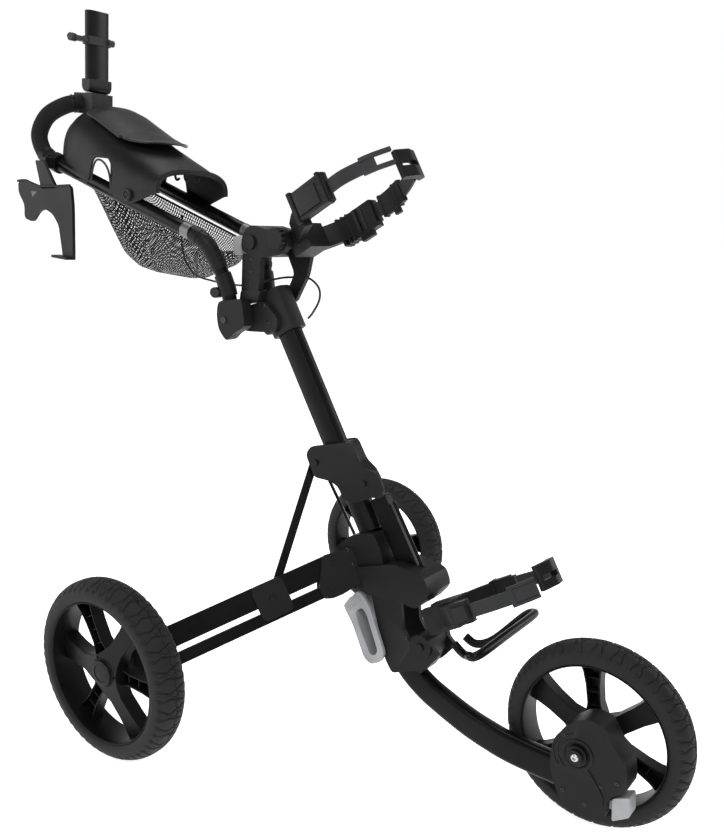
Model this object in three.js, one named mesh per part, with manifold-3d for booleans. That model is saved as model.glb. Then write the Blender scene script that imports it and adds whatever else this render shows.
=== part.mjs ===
// Three-wheeled golf push trolley, unfolded. Millimetres, +X forward, +Y left, +Z up.
// Parts are laid out from the point on the floor under the rear axle, and the group is moved at the end.
import * as THREE from "three";
import { mergeVertices } from "three/addons/utils/BufferGeometryUtils.js";
import Module from "manifold-3d";

const wasm = await Module();
wasm.setup();

// ---- driving dimensions ----
const GAP = 0.35; // play between neighbouring pieces
const WHEEL_R = 146; // 11.5 inch airless tyre
const TYRE_W = 56;
const RIM_R = 117;
const HALF_TRACK = 370;
const WHEELBASE = 653;
const AXLE_R = 8;
const HUB_R = 25;
const ARMS = 6; // every second arm has a closed face, the ones between are set back
const ARM_DEEP = 18;
const CLOSED_ARM_TILT = 0.15; // the closed arms run back from the hub to the barrel
const LEAN = THREE.MathUtils.degToRad(34); // mast leans back from upright
const MAST_FOOT = new THREE.Vector3(188, 0, 377); // the mast's axis is measured from this point
const MAST_DEEP = 42;
const MAST_WIDE = 30;
const PIVOT_R = new THREE.Vector3(180, -50, 272); // root of the right rear leg
const LEG_RUN = new THREE.Vector3(-0.486, -0.797, -0.357); // the way that leg runs, root to wheel
const UPPER_RAIL = 36; // heights of the two rails of a rear leg
const LOWER_RAIL = 20;
const RAIL_THICK = 16;
const UPPER_PIN = [0, 12]; // rail pins at the root, along and across the leg
const LOWER_PIN = [20, -25];
const LINK = 325; // pin to pin along each rail
const BRACE_FOOT = [112, 4];
const BRACE_HEAD = [-42, 181];
const LEG_HINGE = [350, 184]; // fold of the front leg, x and z
const HANDLE_HINGE = [-88, 654];
const HINGE_PIN_R = 6;
const HANDLE_Y = 74; // half the spacing of the handle's side tubes
const ELBOW = [-134, 785];
const HANDLE_SLOPE = 0.26; // rise of the side tubes towards the grip
const HANDLE_TUBE_R = 12.5;
const GRIP_R = 15;
const KNOB = [5, 800]; // the bag bracket's knob and tilt axis, x and z
const KNOB_STEM_R = 6.4;
const LEG_TUBE = [24, 46, 9]; // front leg tube: thickness, height, corner radius
const LEG_PIN_R = 7;
const BUTTON_STEM = [54, 64, 76, 90]; // stem of the wheel's release button: y and z limits on the right
const LATCH_HALF = 37;
const CONSOLE_WALL = 3.2;
const UMBRELLA_X = -500;
const UMBRELLA_SECTION = [20, 46, 9];
const UMBRELLA_FOOT = 1017;
const UMBRELLA_LONG = 137;
const UMBRELLA_STRAP_Z = 1096;
const DRINK_X = -508;
const DRINK_PLATE = [-121, -114.6];
const CABLE_R = 1.8;
const BAG_PLANE = new THREE.Vector3(Math.cos(LEAN), 0, Math.sin(LEAN)); // square to the mast
const UPPER_RING = new THREE.Vector3(30, 0, 797);
const LOWER_RING = new THREE.Vector3(380, 0, 247);
const ORIGIN_SHIFT_X = -104.5; // puts the origin under the middle of the bounding box

// ---- materials ----
const paint = (color, roughness, metalness) => () =>
  new THREE.MeshStandardMaterial({ color, roughness, metalness });
const blackPaint = paint(0x17181a, 0.38, 0.5);
const blackNylon = paint(0x1d1e20, 0.55, 0);
const darkRubber = paint(0x2b2d2f, 0.8, 0);
const tyreRubber = paint(0x202122, 0.85, 0);
const greyPlastic = paint(0x9a9c9e, 0.5, 0);
const steel = paint(0x8c8f92, 0.3, 0.9);
const netCloth = paint(0x3a3c3e, 0.9, 0);

// ---- geometry helpers ----
const solid = (g) => {
  const bare = new THREE.BufferGeometry();
  const flat = g.index ? g.toNonIndexed() : g;
  bare.setAttribute("position", flat.getAttribute("position"));
  const m = mergeVertices(bare, 1e-3);
  return new wasm.Manifold(
    new wasm.Mesh({
      numProp: 3,
      vertProperties: m.attributes.position.array,
      triVerts: new Uint32Array(m.index.array),
    }),
  );
};
const geometry = (s) => {
  const mesh = s.getMesh();
  const g = new THREE.BufferGeometry();
  g.setAttribute("position", new THREE.BufferAttribute(new Float32Array(mesh.vertProperties), 3));
  g.setIndex(new THREE.BufferAttribute(new Uint32Array(mesh.triVerts), 1));
  const out = g.toNonIndexed();
  out.computeVertexNormals();
  return out;
};
const unite = (...gs) => geometry(gs.map(solid).reduce((a, b) => a.add(b)));
const cut = (g, ...tools) => geometry(tools.map(solid).reduce((a, b) => a.subtract(b), solid(g)));
const common = (a, b) => geometry(solid(a).intersect(solid(b)));

const outline = (points) => new THREE.Shape(points.map(([x, y]) => new THREE.Vector2(x, y)));
// Straight-sided outline whose corners are rounded to radius r.
const softOutline = (points, r) => {
  const shape = new THREE.Shape();
  const n = points.length;
  points.forEach((p, i) => {
    const here = new THREE.Vector2(...p);
    const before = new THREE.Vector2(...points[(i + n - 1) % n]).sub(here);
    const after = new THREE.Vector2(...points[(i + 1) % n]).sub(here);
    const reach = Math.min(r, before.length() * 0.45, after.length() * 0.45);
    const a = here.clone().add(before.setLength(reach));
    const b = here.clone().add(after.setLength(reach));
    if (i) shape.lineTo(a.x, a.y);
    else shape.moveTo(a.x, a.y);
    shape.quadraticCurveTo(here.x, here.y, b.x, b.y);
  });
  shape.closePath();
  return shape;
};
const roundRect = (w, h, r) =>
  softOutline([[-w / 2, -h / 2], [w / 2, -h / 2], [w / 2, h / 2], [-w / 2, h / 2]], r);
const extrude = (shape, depth, curveSegments = 2) =>
  new THREE.ExtrudeGeometry(shape, { depth, bevelEnabled: false, curveSegments });
// A slab whose outline is given in x and z, from y0 to y1.
const sideSlab = (points, y0, y1, r = 6) =>
  extrude(softOutline(points, r), y1 - y0).rotateX(Math.PI / 2).translate(0, y1, 0);
const box = (x0, x1, y0, y1, z0, z1) =>
  new THREE.BoxGeometry(x1 - x0, y1 - y0, z1 - z0).translate(
    (x0 + x1) / 2,
    (y0 + y1) / 2,
    (z0 + z1) / 2,
  );
// A cylinder along Y.
const pinY = (r, x, z, y0, y1, sides = 14) =>
  new THREE.CylinderGeometry(r, r, y1 - y0, sides).translate(x, (y0 + y1) / 2, z);
// A cylinder along Z of the local frame.
const pinZ = (r, x, y, z0, z1, sides = 10) =>
  new THREE.CylinderGeometry(r, r, z1 - z0, sides)
    .rotateX(Math.PI / 2)
    .translate(x, y, (z0 + z1) / 2);
const point = (p) => new THREE.Vector3(...p);
const sweep = (points, shape, steps) =>
  new THREE.ExtrudeGeometry(shape, {
    steps,
    curveSegments: 3,
    extrudePath: new THREE.CatmullRomCurve3(points.map(point), false, "centripetal"),
  });
const disc = (r, sides) =>
  outline(
    Array.from({ length: sides }, (_, i) => {
      const a = (i / sides) * 2 * Math.PI;
      return [r * Math.cos(a), r * Math.sin(a)];
    }),
  );
const swept = (points, r, steps, sides = 10) => sweep(points, disc(r, sides), steps);
// A solid through a row of closed sections that all have the same number of points.
const loft = (sections) => {
  const n = sections[0].length;
  const vertices = sections.flat();
  const faces = [];
  for (let s = 0; s + 1 < sections.length; s++)
    for (let i = 0; i < n; i++) {
      const a = s * n + i;
      const b = s * n + ((i + 1) % n);
      faces.push(a, b, a + n, b, b + n, a + n);
    }
  const last = (sections.length - 1) * n;
  for (let i = 1; i + 1 < n; i++) {
    faces.push(0, i + 1, i);
    faces.push(last, last + i, last + i + 1);
  }
  const g = new THREE.BufferGeometry();
  g.setAttribute("position", new THREE.Float32BufferAttribute(vertices.flat(), 3));
  g.setIndex(faces);
  return g;
};
// A band that follows points given in the plane, thick across it and tall along local Z.
const band = (points, thick, z0, z1, steps = 8) => {
  const curve = new THREE.SplineCurve(points.map((p) => new THREE.Vector2(...p)));
  const left = [];
  const right = [];
  for (let i = 0; i <= steps; i++) {
    const p = curve.getPoint(i / steps);
    const t = curve.getTangent(i / steps);
    left.push([p.x - (t.y * thick) / 2, p.y + (t.x * thick) / 2]);
    right.unshift([p.x + (t.y * thick) / 2, p.y - (t.x * thick) / 2]);
  }
  return extrude(outline([...right, ...left].reverse()), z1 - z0).translate(0, 0, z0);
};
const lathe = (profile, sides) =>
  new THREE.LatheGeometry(profile.map(([r, y]) => new THREE.Vector2(r, y)), sides);
// The same shape with its seams joined and flat normals.
const closed = (g) => geometry(solid(g));

const trolley = new THREE.Group();
const add = (parent, name, g, material) => {
  const mesh = new THREE.Mesh(g, material());
  mesh.name = name;
  parent.add(mesh);
  return mesh;
};
// A group whose local axes are e1, e2 and e3 at the point given.
const framed = (at, e1, e2) => {
  const group = new THREE.Group();
  const e3 = new THREE.Vector3().crossVectors(e1, e2).normalize();
  const up = new THREE.Vector3().crossVectors(e3, e1).normalize();
  group.quaternion.setFromRotationMatrix(new THREE.Matrix4().makeBasis(e1, up, e3));
  group.position.copy(at);
  trolley.add(group);
  return group;
};
const worldOf = (group, g) => {
  group.updateMatrix();
  return g.clone().applyMatrix4(group.matrix);
};

// ---- frames that more than one part uses ----
const mastUp = new THREE.Vector3(-Math.sin(LEAN), 0, Math.cos(LEAN));
const mastFrame = () => framed(MAST_FOOT, mastUp, new THREE.Vector3(0, 1, 0)); // local x runs up the mast
const legFrame = (side) =>
  framed(
    new THREE.Vector3(PIVOT_R.x, -side * PIVOT_R.y, PIVOT_R.z),
    new THREE.Vector3(LEG_RUN.x, -side * LEG_RUN.y, LEG_RUN.z).normalize(),
    mastUp,
  );
const ringFrame = (at) => framed(at, BAG_PLANE, new THREE.Vector3(0, 1, 0)); // local z is mastUp
// Along the mast: a slab given in local x (up the mast) and z (backwards), wide in y.
const mastBlock = (s0, s1, deep, wide, r) =>
  extrude(roundRect(wide, deep, r), s1 - s0)
    .rotateY(Math.PI / 2)
    .rotateX(Math.PI / 2)
    .translate(s0, 0, 0);

// ---- wheels ----
const tyreProfile = [
  [RIM_R + GAP, -24],
  [130, -TYRE_W / 2],
  [140, -25.5],
  [144.6, -15],
  [WHEEL_R, 0],
  [144.6, 15],
  [140, 25.5],
  [130, TYRE_W / 2],
  [RIM_R + GAP, 24],
  [RIM_R + GAP, -24],
];
const ARM_PLAN = [[19, -16], [60, -13], [114, -19], [114, 19], [60, 13], [19, 16]];
// A rim whose closed arms face +Y, turned so that one of them is at angle phase from +X towards +Z.
const facingRim = (phase) => {
  const barrel = lathe(
    [[113.2, -24], [RIM_R, -25], [RIM_R, 25], [113.2, 24], [112, 6], [112, -6], [113.2, -24]],
    36,
  );
  const hub = lathe(
    [[AXLE_R + GAP, -20], [HUB_R, -20], [HUB_R, 20], [AXLE_R + GAP, 20], [AXLE_R + GAP, -20]],
    18,
  );
  const arms = Array.from({ length: ARMS }, (_, i) => {
    const isClosed = i % 2 === 0;
    return extrude(outline(ARM_PLAN), ARM_DEEP)
      .rotateX(Math.PI / 2)
      .translate(0, isClosed ? ARM_DEEP : 3, 0)
      .rotateZ(isClosed ? -CLOSED_ARM_TILT : 0)
      .rotateY(-(i / ARMS) * 2 * Math.PI);
  });
  const reach = new THREE.CylinderGeometry(RIM_R, RIM_R, 52, 36);
  const bore = new THREE.CylinderGeometry(AXLE_R + GAP, AXLE_R + GAP, 60, 16);
  return cut(common(unite(barrel, hub, ...arms), reach), bore).rotateY(-phase);
};
const rimGeometry = (side, phase) =>
  side > 0 ? facingRim(phase) : facingRim(Math.PI - phase).rotateZ(Math.PI);
const capGeometry = (side) => {
  const g = lathe([[0, 20.4], [22, 20.4], [22, 21.4], [15, 22.4], [0, 22.4]], 16);
  return side < 0 ? g.rotateX(Math.PI) : g;
};
// armSide and capSide are the sides, along Y, that show the closed arms and the hub cap.
const wheel = (name, x, y, armSide, capSide, phase) => {
  const group = new THREE.Group();
  group.position.set(x, y, WHEEL_R);
  trolley.add(group);
  add(group, "tyre_" + name, closed(lathe(tyreProfile, 48)), tyreRubber);
  add(group, "rim_" + name, rimGeometry(armSide, THREE.MathUtils.degToRad(phase)), blackNylon);
  add(group, "hub_cap_" + name, closed(capGeometry(capSide)), blackNylon);
};

// ---- mast, collar, centre bracket ----
const mastHole = () =>
  worldOf(mastFrame(), mastBlock(-60, 400, MAST_DEEP + 2 * GAP, MAST_WIDE + 2 * GAP, 13));
const mast = () => {
  const tube = cut(
    mastBlock(-44, 386, MAST_DEEP, MAST_WIDE, 13),
    mastBlock(-60, 400, MAST_DEEP - 5, MAST_WIDE - 5, 10.5),
  );
  add(mastFrame(), "mast_tube", tube, blackPaint);
};
const collar = () => {
  const cheek = [
    [93, 466], [179, 494], [197, 463], [214, 453], [232, 456], [250, 430], [246, 413], [228, 411],
    [196, 392], [171, 391], [157, 411], [138, 416], [106, 414], [84, 450],
  ];
  const farCheek = [
    [93, 466], [146, 484], [168, 452], [190, 440], [204, 424], [208, 402], [196, 392], [171, 391],
    [157, 411], [138, 416], [106, 414], [84, 450],
  ];
  const core = [
    [122, 474], [150, 483], [172, 452], [194, 440], [212, 412], [196, 393], [171, 392], [142, 430],
  ];
  const body = unite(
    sideSlab(cheek, -31, -26.2, 7),
    sideSlab(farCheek, 26.2, 31, 7),
    sideSlab(core, -28, 28, 6),
    pinY(5, 107, 441, -34, 34, 12),
    pinY(5, 209, 430, -34, -26, 12),
  );
  const braceRoom = box(70, 118, -24, 24, 400, 470);
  const railRoom = box(192, 262, -9.5, 9.5, 380, 421);
  add(trolley, "mast_collar", cut(body, mastHole(), braceRoom, railRoom), blackNylon);
};
// The plates that carry one rear leg, in that leg's own frame.
const legPlates = (side) => {
  const group = legFrame(side);
  const plate = softOutline(
    [[-52, 22], [14, 32], [22, 14], [42, -18], [34, -40], [8, -42], [-52, -34]],
    9,
  );
  const layers = [[-13, -9], [9, 13]].map(([z0, z1]) => extrude(plate, z1 - z0).translate(0, 0, z0));
  const pins = [UPPER_PIN, LOWER_PIN].map(([x, y]) => pinZ(4, x, y, -15, 15));
  return [...layers, ...pins].map((g) => worldOf(group, g));
};
const BLOCK = [
  [160, 300], [190, 332], [234, 350], [252, 326], [262, 296], [250, 262], [205, 238], [166, 248],
];
const bracket = () => {
  const legRoom = [-1, 1].map((side) => worldOf(legFrame(side), box(-24, 80, -50, 60, -8.6, 8.6)));
  const block = cut(sideSlab(BLOCK, -28, 28, 8), ...legRoom);
  const body = unite(block, ...legPlates(-1), ...legPlates(1));
  add(trolley, "frame_bracket", cut(body, mastHole()), blackNylon);
};

// ---- rear legs ----
const stadium = (x0, x1, y, height) => {
  const r = height / 2;
  const shape = new THREE.Shape();
  shape.moveTo(x0, y - r);
  shape.lineTo(x1, y - r);
  shape.absarc(x1, y, r, -Math.PI / 2, Math.PI / 2, false);
  shape.lineTo(x0, y + r);
  shape.absarc(x0, y, r, Math.PI / 2, (3 * Math.PI) / 2, false);
  return shape;
};
const rail = ([x, y], height) => {
  const wall = 2.5;
  const half = height / 2 - wall;
  const bar = extrude(stadium(x, x + LINK, y, height), RAIL_THICK, 4)
    .translate(0, 0, -RAIL_THICK / 2);
  const deep = RAIL_THICK / 2 - wall;
  const inside = box(x - height, x + LINK + height, y - half, y + half, -deep, deep);
  const bores = [x, x + LINK].map((at) => pinZ(4 + GAP, at, y, -12, 12));
  return cut(bar, inside, ...bores);
};
const clampPlate = () =>
  unite(
    extrude(roundRect(56, 60, 10), 3.6).translate(117, 0, -12.2),
    pinZ(5, 117, 0, -14.5, -12, 12),
  );
const carrier = (side, group) => {
  const cheek = softOutline(
    [[310, 24], [340, 30], [364, 20], [366, -30], [350, -38], [330, -34], [322, -6]],
    8,
  );
  const cheeks = [-12.5, 8.5].map((z) => extrude(cheek, 4).translate(0, 0, z));
  const web = box(357.5, 366, -28, 18, -10, 10);
  const pins = [UPPER_PIN, LOWER_PIN].map(([x, y]) => pinZ(4, x + LINK, y, -12, 12));
  const local = [...cheeks, web, ...pins].map((g) => worldOf(group, g));
  const ends = (a, b) => [a * side, b * side].sort((m, n) => m - n);
  const boss = pinY(17, 0, WHEEL_R, ...ends(330, 348.5));
  const axle = pinY(AXLE_R, 0, WHEEL_R, ...ends(340, 389));
  return unite(...local, boss, axle);
};
const brace = () => {
  const dx = BRACE_FOOT[0] - BRACE_HEAD[0];
  const dy = BRACE_FOOT[1] - BRACE_HEAD[1];
  return extrude(stadium(0, Math.hypot(dx, dy), 0, 14), 5, 4)
    .rotateZ(Math.atan2(dy, dx))
    .translate(BRACE_HEAD[0], BRACE_HEAD[1], 13.6);
};
// The same piece on the other face of the leg: local z turned round.
const mirrored = (g) => geometry(solid(g).mirror([0, 0, 1]));
const rearLeg = (name, side) => {
  const group = legFrame(side);
  // Local z runs backwards on the right leg and forwards on the left.
  const flip = (g) => (side < 0 ? g : mirrored(g));
  const upper = unite(rail(UPPER_PIN, UPPER_RAIL), flip(pinZ(6, ...BRACE_FOOT, 7, 13.2, 12)));
  add(group, "rail_upper_" + name, upper, blackPaint);
  add(group, "rail_lower_" + name, rail(LOWER_PIN, LOWER_RAIL), blackPaint);
  add(group, "rail_clamp_" + name, flip(clampPlate()), blackNylon);
  add(group, "leg_brace_" + name, flip(brace()), blackPaint);
  add(trolley, "wheel_carrier_" + name, carrier(side, group), blackNylon);
};

// ---- front rail, saddle, front leg ----
const RAIL_TOP = [222, 404];
const RAIL_FOOT = [333, 250];
const RAIL_WIDE = 34;
const slant = (a, b, wide) => {
  const d = new THREE.Vector2(b[0] - a[0], b[1] - a[1]).setLength(wide / 2);
  return [
    [a[0] - d.y, a[1] + d.x],
    [a[0] + d.y, a[1] - d.x],
    [b[0] + d.y, b[1] - d.x],
    [b[0] - d.y, b[1] + d.x],
  ];
};
// The front rail's slab, grown all round and lengthened at the foot.
const railSlab = (grow, longer) => {
  const run = new THREE.Vector2(RAIL_FOOT[0] - RAIL_TOP[0], RAIL_FOOT[1] - RAIL_TOP[1]);
  run.setLength(run.length() + longer);
  const foot = [RAIL_TOP[0] + run.x, RAIL_TOP[1] + run.y];
  const plan = slant(RAIL_TOP, foot, RAIL_WIDE + 2 * grow).reverse();
  return sideSlab(plan, -8 - grow, 8 + grow, 3);
};
const ROD = [[251, 0, 403], [285, 0, 356], [320, 0, 307], [349, 0, 267]];
const frontRail = () => {
  add(trolley, "front_rail", closed(railSlab(0, 0)), blackPaint);
  add(trolley, "rail_rod", closed(swept(ROD, 3, 4, 8)), blackPaint);
};
const saddle = () => {
  const yoke = [
    [188, 264], [196, 276], [286, 312], [345, 306], [358, 280], [336, 248], [297, 250], [236, 240],
  ];
  const cheek = [
    [236, 262], [300, 262], [312, 202], [332, 180], [352, 205], [386, 180], [372, 160], [362, 146],
    [300, 116], [284, 136],
  ];
  const body = unite(
    sideSlab(yoke, -34, 34, 9),
    sideSlab(cheek, -30, -22, 6),
    sideSlab(cheek, 22, 30, 6),
    pinY(21, ...LEG_HINGE, -33, -22),
    pinY(21, ...LEG_HINGE, 22, 33),
    pinY(LEG_PIN_R, ...LEG_HINGE, -36, 36, 16),
  );
  const railHole = railSlab(GAP, 36);
  const bracketRoom = sideSlab(BLOCK.map(([x, z]) => [x + 0.6, z - 0.8]), -29, 29, 8);
  const legRoom = [-1, 1].map((side) => worldOf(legFrame(side), box(-60, 90, -44, 60, -14, 14)));
  const rodHole = swept(ROD, 4, 4, 8);
  const rooms = [railHole, bracketRoom, ...legRoom, rodHole];
  add(trolley, "leg_saddle", cut(body, ...rooms), blackNylon);
};
const latch = () => {
  const side = [
    [193, 206], [220, 243], [232, 237], [248, 222], [286, 148], [280, 130], [258, 120],
    [246, 126], [214, 182],
  ];
  const body = sideSlab(side, -LATCH_HALF, LATCH_HALF, 9);
  const open = [[208, 232], [240, 256], [310, 150], [268, 120], [256, 132]];
  const inside = sideSlab(open, 6 - LATCH_HALF, LATCH_HALF - 6, 5);
  const slot = sideSlab([[230, 200], [239, 205], [271, 149], [263, 141]], -50, 50, 4);
  add(trolley, "lower_latch", cut(body, inside, slot), greyPlastic);
};
const FRONT_LEG = [
  [298, 0, 139], [326, -3, 118], [356, -7, 104], [386, -13, 97], [450, -30, 91], [500, -42.5, 91],
  [545, -50, 92], [622, -55, 96],
];
const LEG_PLAY = 1.4;
const legTube = (grow) => {
  const [thick, high, r] = LEG_TUBE;
  const route = grow ? [...FRONT_LEG, [622 + grow, -55, 96]] : FRONT_LEG;
  return sweep(route, roundRect(thick + grow, high + grow, r), 14);
};
const frontLeg = () => add(trolley, "front_leg", closed(legTube(0)), blackPaint);
const knuckle = () => {
  const arm = [[332, 196], [362, 200], [372, 178], [362, 150], [350, 128], [318, 140], [330, 168]];
  const body = unite(sideSlab(arm, -21, 21, 7), pinY(20, ...LEG_HINGE, -21, 21));
  const bore = pinY(LEG_PIN_R + GAP, ...LEG_HINGE, -24, 24, 16);
  add(trolley, "leg_knuckle", cut(body, bore, legTube(LEG_PLAY)), blackNylon);
};
const housing = () => {
  const shell = [
    [613, 120], [613, 152], [629, 184], [655, 207], [685, 206], [702, 180], [724, 162],
    [733, 122], [706, 98], [710, 66], [677, 58], [639, 62], [619, 96],
  ];
  const body = unite(
    sideSlab(shell, -76, -36, 10),
    pinY(16, WHEELBASE, WHEEL_R, -82, -75),
    pinY(11, WHEELBASE, WHEEL_R, -86, -80, 12),
  );
  const [near, far, low, high] = BUTTON_STEM;
  const play = 0.4;
  const stemRoom = box(694, 720, -far - play, -near + play, low - play, high + play);
  const axleBore = pinY(AXLE_R + GAP, WHEELBASE, WHEEL_R, -60, -30);
  add(trolley, "wheel_housing", cut(body, legTube(LEG_PLAY), stemRoom, axleBore), blackNylon);
  add(trolley, "front_axle", closed(pinY(AXLE_R, WHEELBASE, WHEEL_R, -58, 19)), steel);
  const pad = sideSlab([[712, 99], [736, 112], [741, 81], [717, 63]], -72, -46, 4);
  const stem = box(698, 722, -far, -near, low, high);
  add(trolley, "wheel_release_button", unite(pad, stem), greyPlastic);
};

// ---- bag brackets ----
const STRAP_THICK = 5;
const acrossY = (points) => points.map(([x, y, z]) => [x, -y, z]);
const upperBracket = () => {
  const ring = ringFrame(UPPER_RING);
  const cradle = unite(
    box(-12, 26, -26, 24, -20, 22),
    band([[4, -18], [34, -44], [64, -64]], 14, -4, 34),
    extrude(roundRect(74, 16, 4), 46).translate(92, -68, 4),
    band([[4, 18], [30, 46], [62, 60], [112, 66]], 12, -18, 18),
    box(70, 76, 52, 72, -20, 20),
    box(82, 88, 54, 74, -20, 20),
  );
  const barrel = pinY(16, ...KNOB, -26, 24);
  const whole = unite(worldOf(ring, cradle), barrel);
  const coreRoom = box(-80, -21, -45, 40, 750, 830);
  const stemRoom = pinY(KNOB_STEM_R + GAP, ...KNOB, -60, 60);
  add(trolley, "upper_cradle", cut(whole, coreRoom, stemRoom), blackNylon);
  const near = [[130, -68], [160, -66], [196, -50], [224, -24]];
  const far = [[113, 66], [150, 62], [188, 44], [222, 18]];
  add(ring, "upper_strap_near", band(near, STRAP_THICK, 14, 36), darkRubber);
  add(ring, "upper_strap_far", band(far, STRAP_THICK, -12, 12), darkRubber);
  const plate = [[222, -22], [232, -26], [240, 4], [236, 26], [224, 24], [229, 4]];
  const slot = box(210, 250, -20, 18, 4, 12);
  const buckle = cut(extrude(softOutline(plate, 3), 44).translate(0, 0, -14), slot);
  add(ring, "upper_buckle", buckle, blackNylon);
};

const lowerBracket = () => {
  const ring = ringFrame(LOWER_RING);
  const cradle = unite(
    box(-38, 26, -24, 28, -24, 20),
    band([[0, -16], [26, -34], [56, -48]], 14, -16, 18),
    extrude(roundRect(40, 16, 4), 36).translate(56, -50, -16),
    band([[0, 18], [30, 44], [60, 56], [104, 60]], 12, -14, 18),
  );
  const railRoom = railSlab(0.5, 14);
  add(trolley, "lower_cradle", cut(worldOf(ring, cradle), railRoom), blackNylon);
  const near = [[78, -50], [110, -48], [150, -38], [182, -18]];
  const far = [[106, 60], [140, 54], [172, 40], [189, 26]];
  add(ring, "lower_strap_near", band(near, STRAP_THICK, -10, 12), darkRubber);
  add(ring, "lower_strap_far", band(far, STRAP_THICK, -6, 16), darkRubber);
  const plate = [[182, -16], [192, -20], [206, 4], [204, 24], [192, 20], [194, 4]];
  const slot = box(170, 220, -14, 14, 6, 14);
  const buckle = cut(extrude(softOutline(plate, 3), 40).translate(0, 0, -8), slot);
  add(ring, "lower_buckle", buckle, blackNylon);
};
const BAG_REST_R = 7;
const REST_HALF = [
  [404, 18, 206], [424, 22, 198], [446, 40, 208], [470, 92, 240], [482, 102, 247], [488, 80, 250],
];
const bagRest = () => {
  const loop = [...acrossY(REST_HALF), [489, 0, 251], ...[...REST_HALF].reverse()];
  add(trolley, "bag_rest_loop", closed(swept(loop, BAG_REST_R, 32, 8)), blackPaint);
};

// ---- top joint ----
const sleeve = () => {
  const wrap = worldOf(mastFrame(), mastBlock(322, 398, 54, 40, 12));
  const barrel = pinY(18, ...HANDLE_HINGE, -37, 37);
  const web = sideSlab([[-100, 644], [-66, 636], [0, 644], [4, 668], [-30, 694], [-76, 676]], -30, 30, 8);
  const body = unite(wrap, barrel, web);
  const bore = pinY(HINGE_PIN_R + GAP, ...HANDLE_HINGE, -40, 40, 16);
  add(trolley, "mast_sleeve", cut(body, mastHole(), bore), blackNylon);
  add(trolley, "handle_hinge_pin", closed(pinY(HINGE_PIN_R, ...HANDLE_HINGE, -65, 65, 16)), steel);
};
const post = () => {
  const strut = [[-60, 696], [-34, 700], [-32, 772], [-74, 768], [-72, 700]];
  const head = [
    [-78, 772], [-76, 800], [-60, 817], [-20, 812], [8, 820], [26, 800], [14, 776], [-36, 764],
  ];
  const core = [[-78, 772], [-76, 800], [-60, 817], [-22, 812], [-22, 770], [-36, 764]];
  const arm = [
    [-30, 800], [8, 820], [26, 800], [16, 740], [-8, 690], [-30, 700], [-12, 740], [-30, 770],
  ];
  const foot = [[-76, 680], [-34, 692], [-30, 712], [-74, 706]];
  const body = unite(
    sideSlab(strut, -40, -28, 5),
    sideSlab(foot, -40, -21, 5),
    sideSlab(head, -40, -27, 9),
    sideSlab(core, -40, 34, 9),
    sideSlab(arm, 25, 34, 7),
    pinY(12, -57, 788, -44, -38),
  );
  const sleeveRoom = worldOf(mastFrame(), mastBlock(318, 398.6, 55, 41, 12));
  const web = [[-101, 643], [-66, 635], [1, 643], [5, 669], [-30, 695], [-77, 677]];
  const barrelRoom = pinY(17, ...KNOB, -26.6, 24.6);
  const stemRoom = pinY(7, ...KNOB, -60, 60);
  const rooms = [sleeveRoom, sideSlab(web, -31, 31, 8), barrelRoom, stemRoom];
  add(trolley, "hinge_post", cut(body, ...rooms), blackNylon);
};

// ---- handle ----
const handleZ = (x) => ELBOW[1] + HANDLE_SLOPE * (ELBOW[0] - x);
const tubePath = (side) => [
  [-88, side * 48, 676], [-95, side * 50, 706], [-112, side * 58, 746], [-128, side * 68, 775],
  [-150, side * 73, handleZ(-150)], [-190, side * HANDLE_Y, handleZ(-190)],
  [-350, side * 77, handleZ(-350)], [-519, side * 82, handleZ(-519)],
];
const handleTube = (name, side) => {
  add(trolley, "handle_tube_" + name, closed(swept(tubePath(side), HANDLE_TUBE_R, 16)), blackPaint);
  const block = [
    [-104, 684], [-50, 696], [-40, 650], [-66, 634], [-80, 618], [-100, 636], [-106, 660],
  ];
  const y = side < 0 ? [-63, -41.5] : [41.5, 63];
  const socket = cut(
    sideSlab(block, ...y, 8),
    swept(tubePath(side), HANDLE_TUBE_R + GAP, 16),
    pinY(HINGE_PIN_R + GAP, ...HANDLE_HINGE, -70, 70, 16),
  );
  add(trolley, "handle_socket_" + name, socket, blackNylon);
};
const GRIP_HALF = [
  [-523.5, 82, handleZ(-523.5)], [-546, 84, 900], [-562, 82, 930], [-556, 68, 964],
  [-536, 44, 986], [-520, 20, 994],
];
const gripPath = () => [...acrossY(GRIP_HALF), [-514, 0, 996], ...[...GRIP_HALF].reverse()];
const grip = () =>
  add(trolley, "handle_grip", closed(swept(gripPath(), GRIP_R, 30)), darkRubber);
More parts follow.
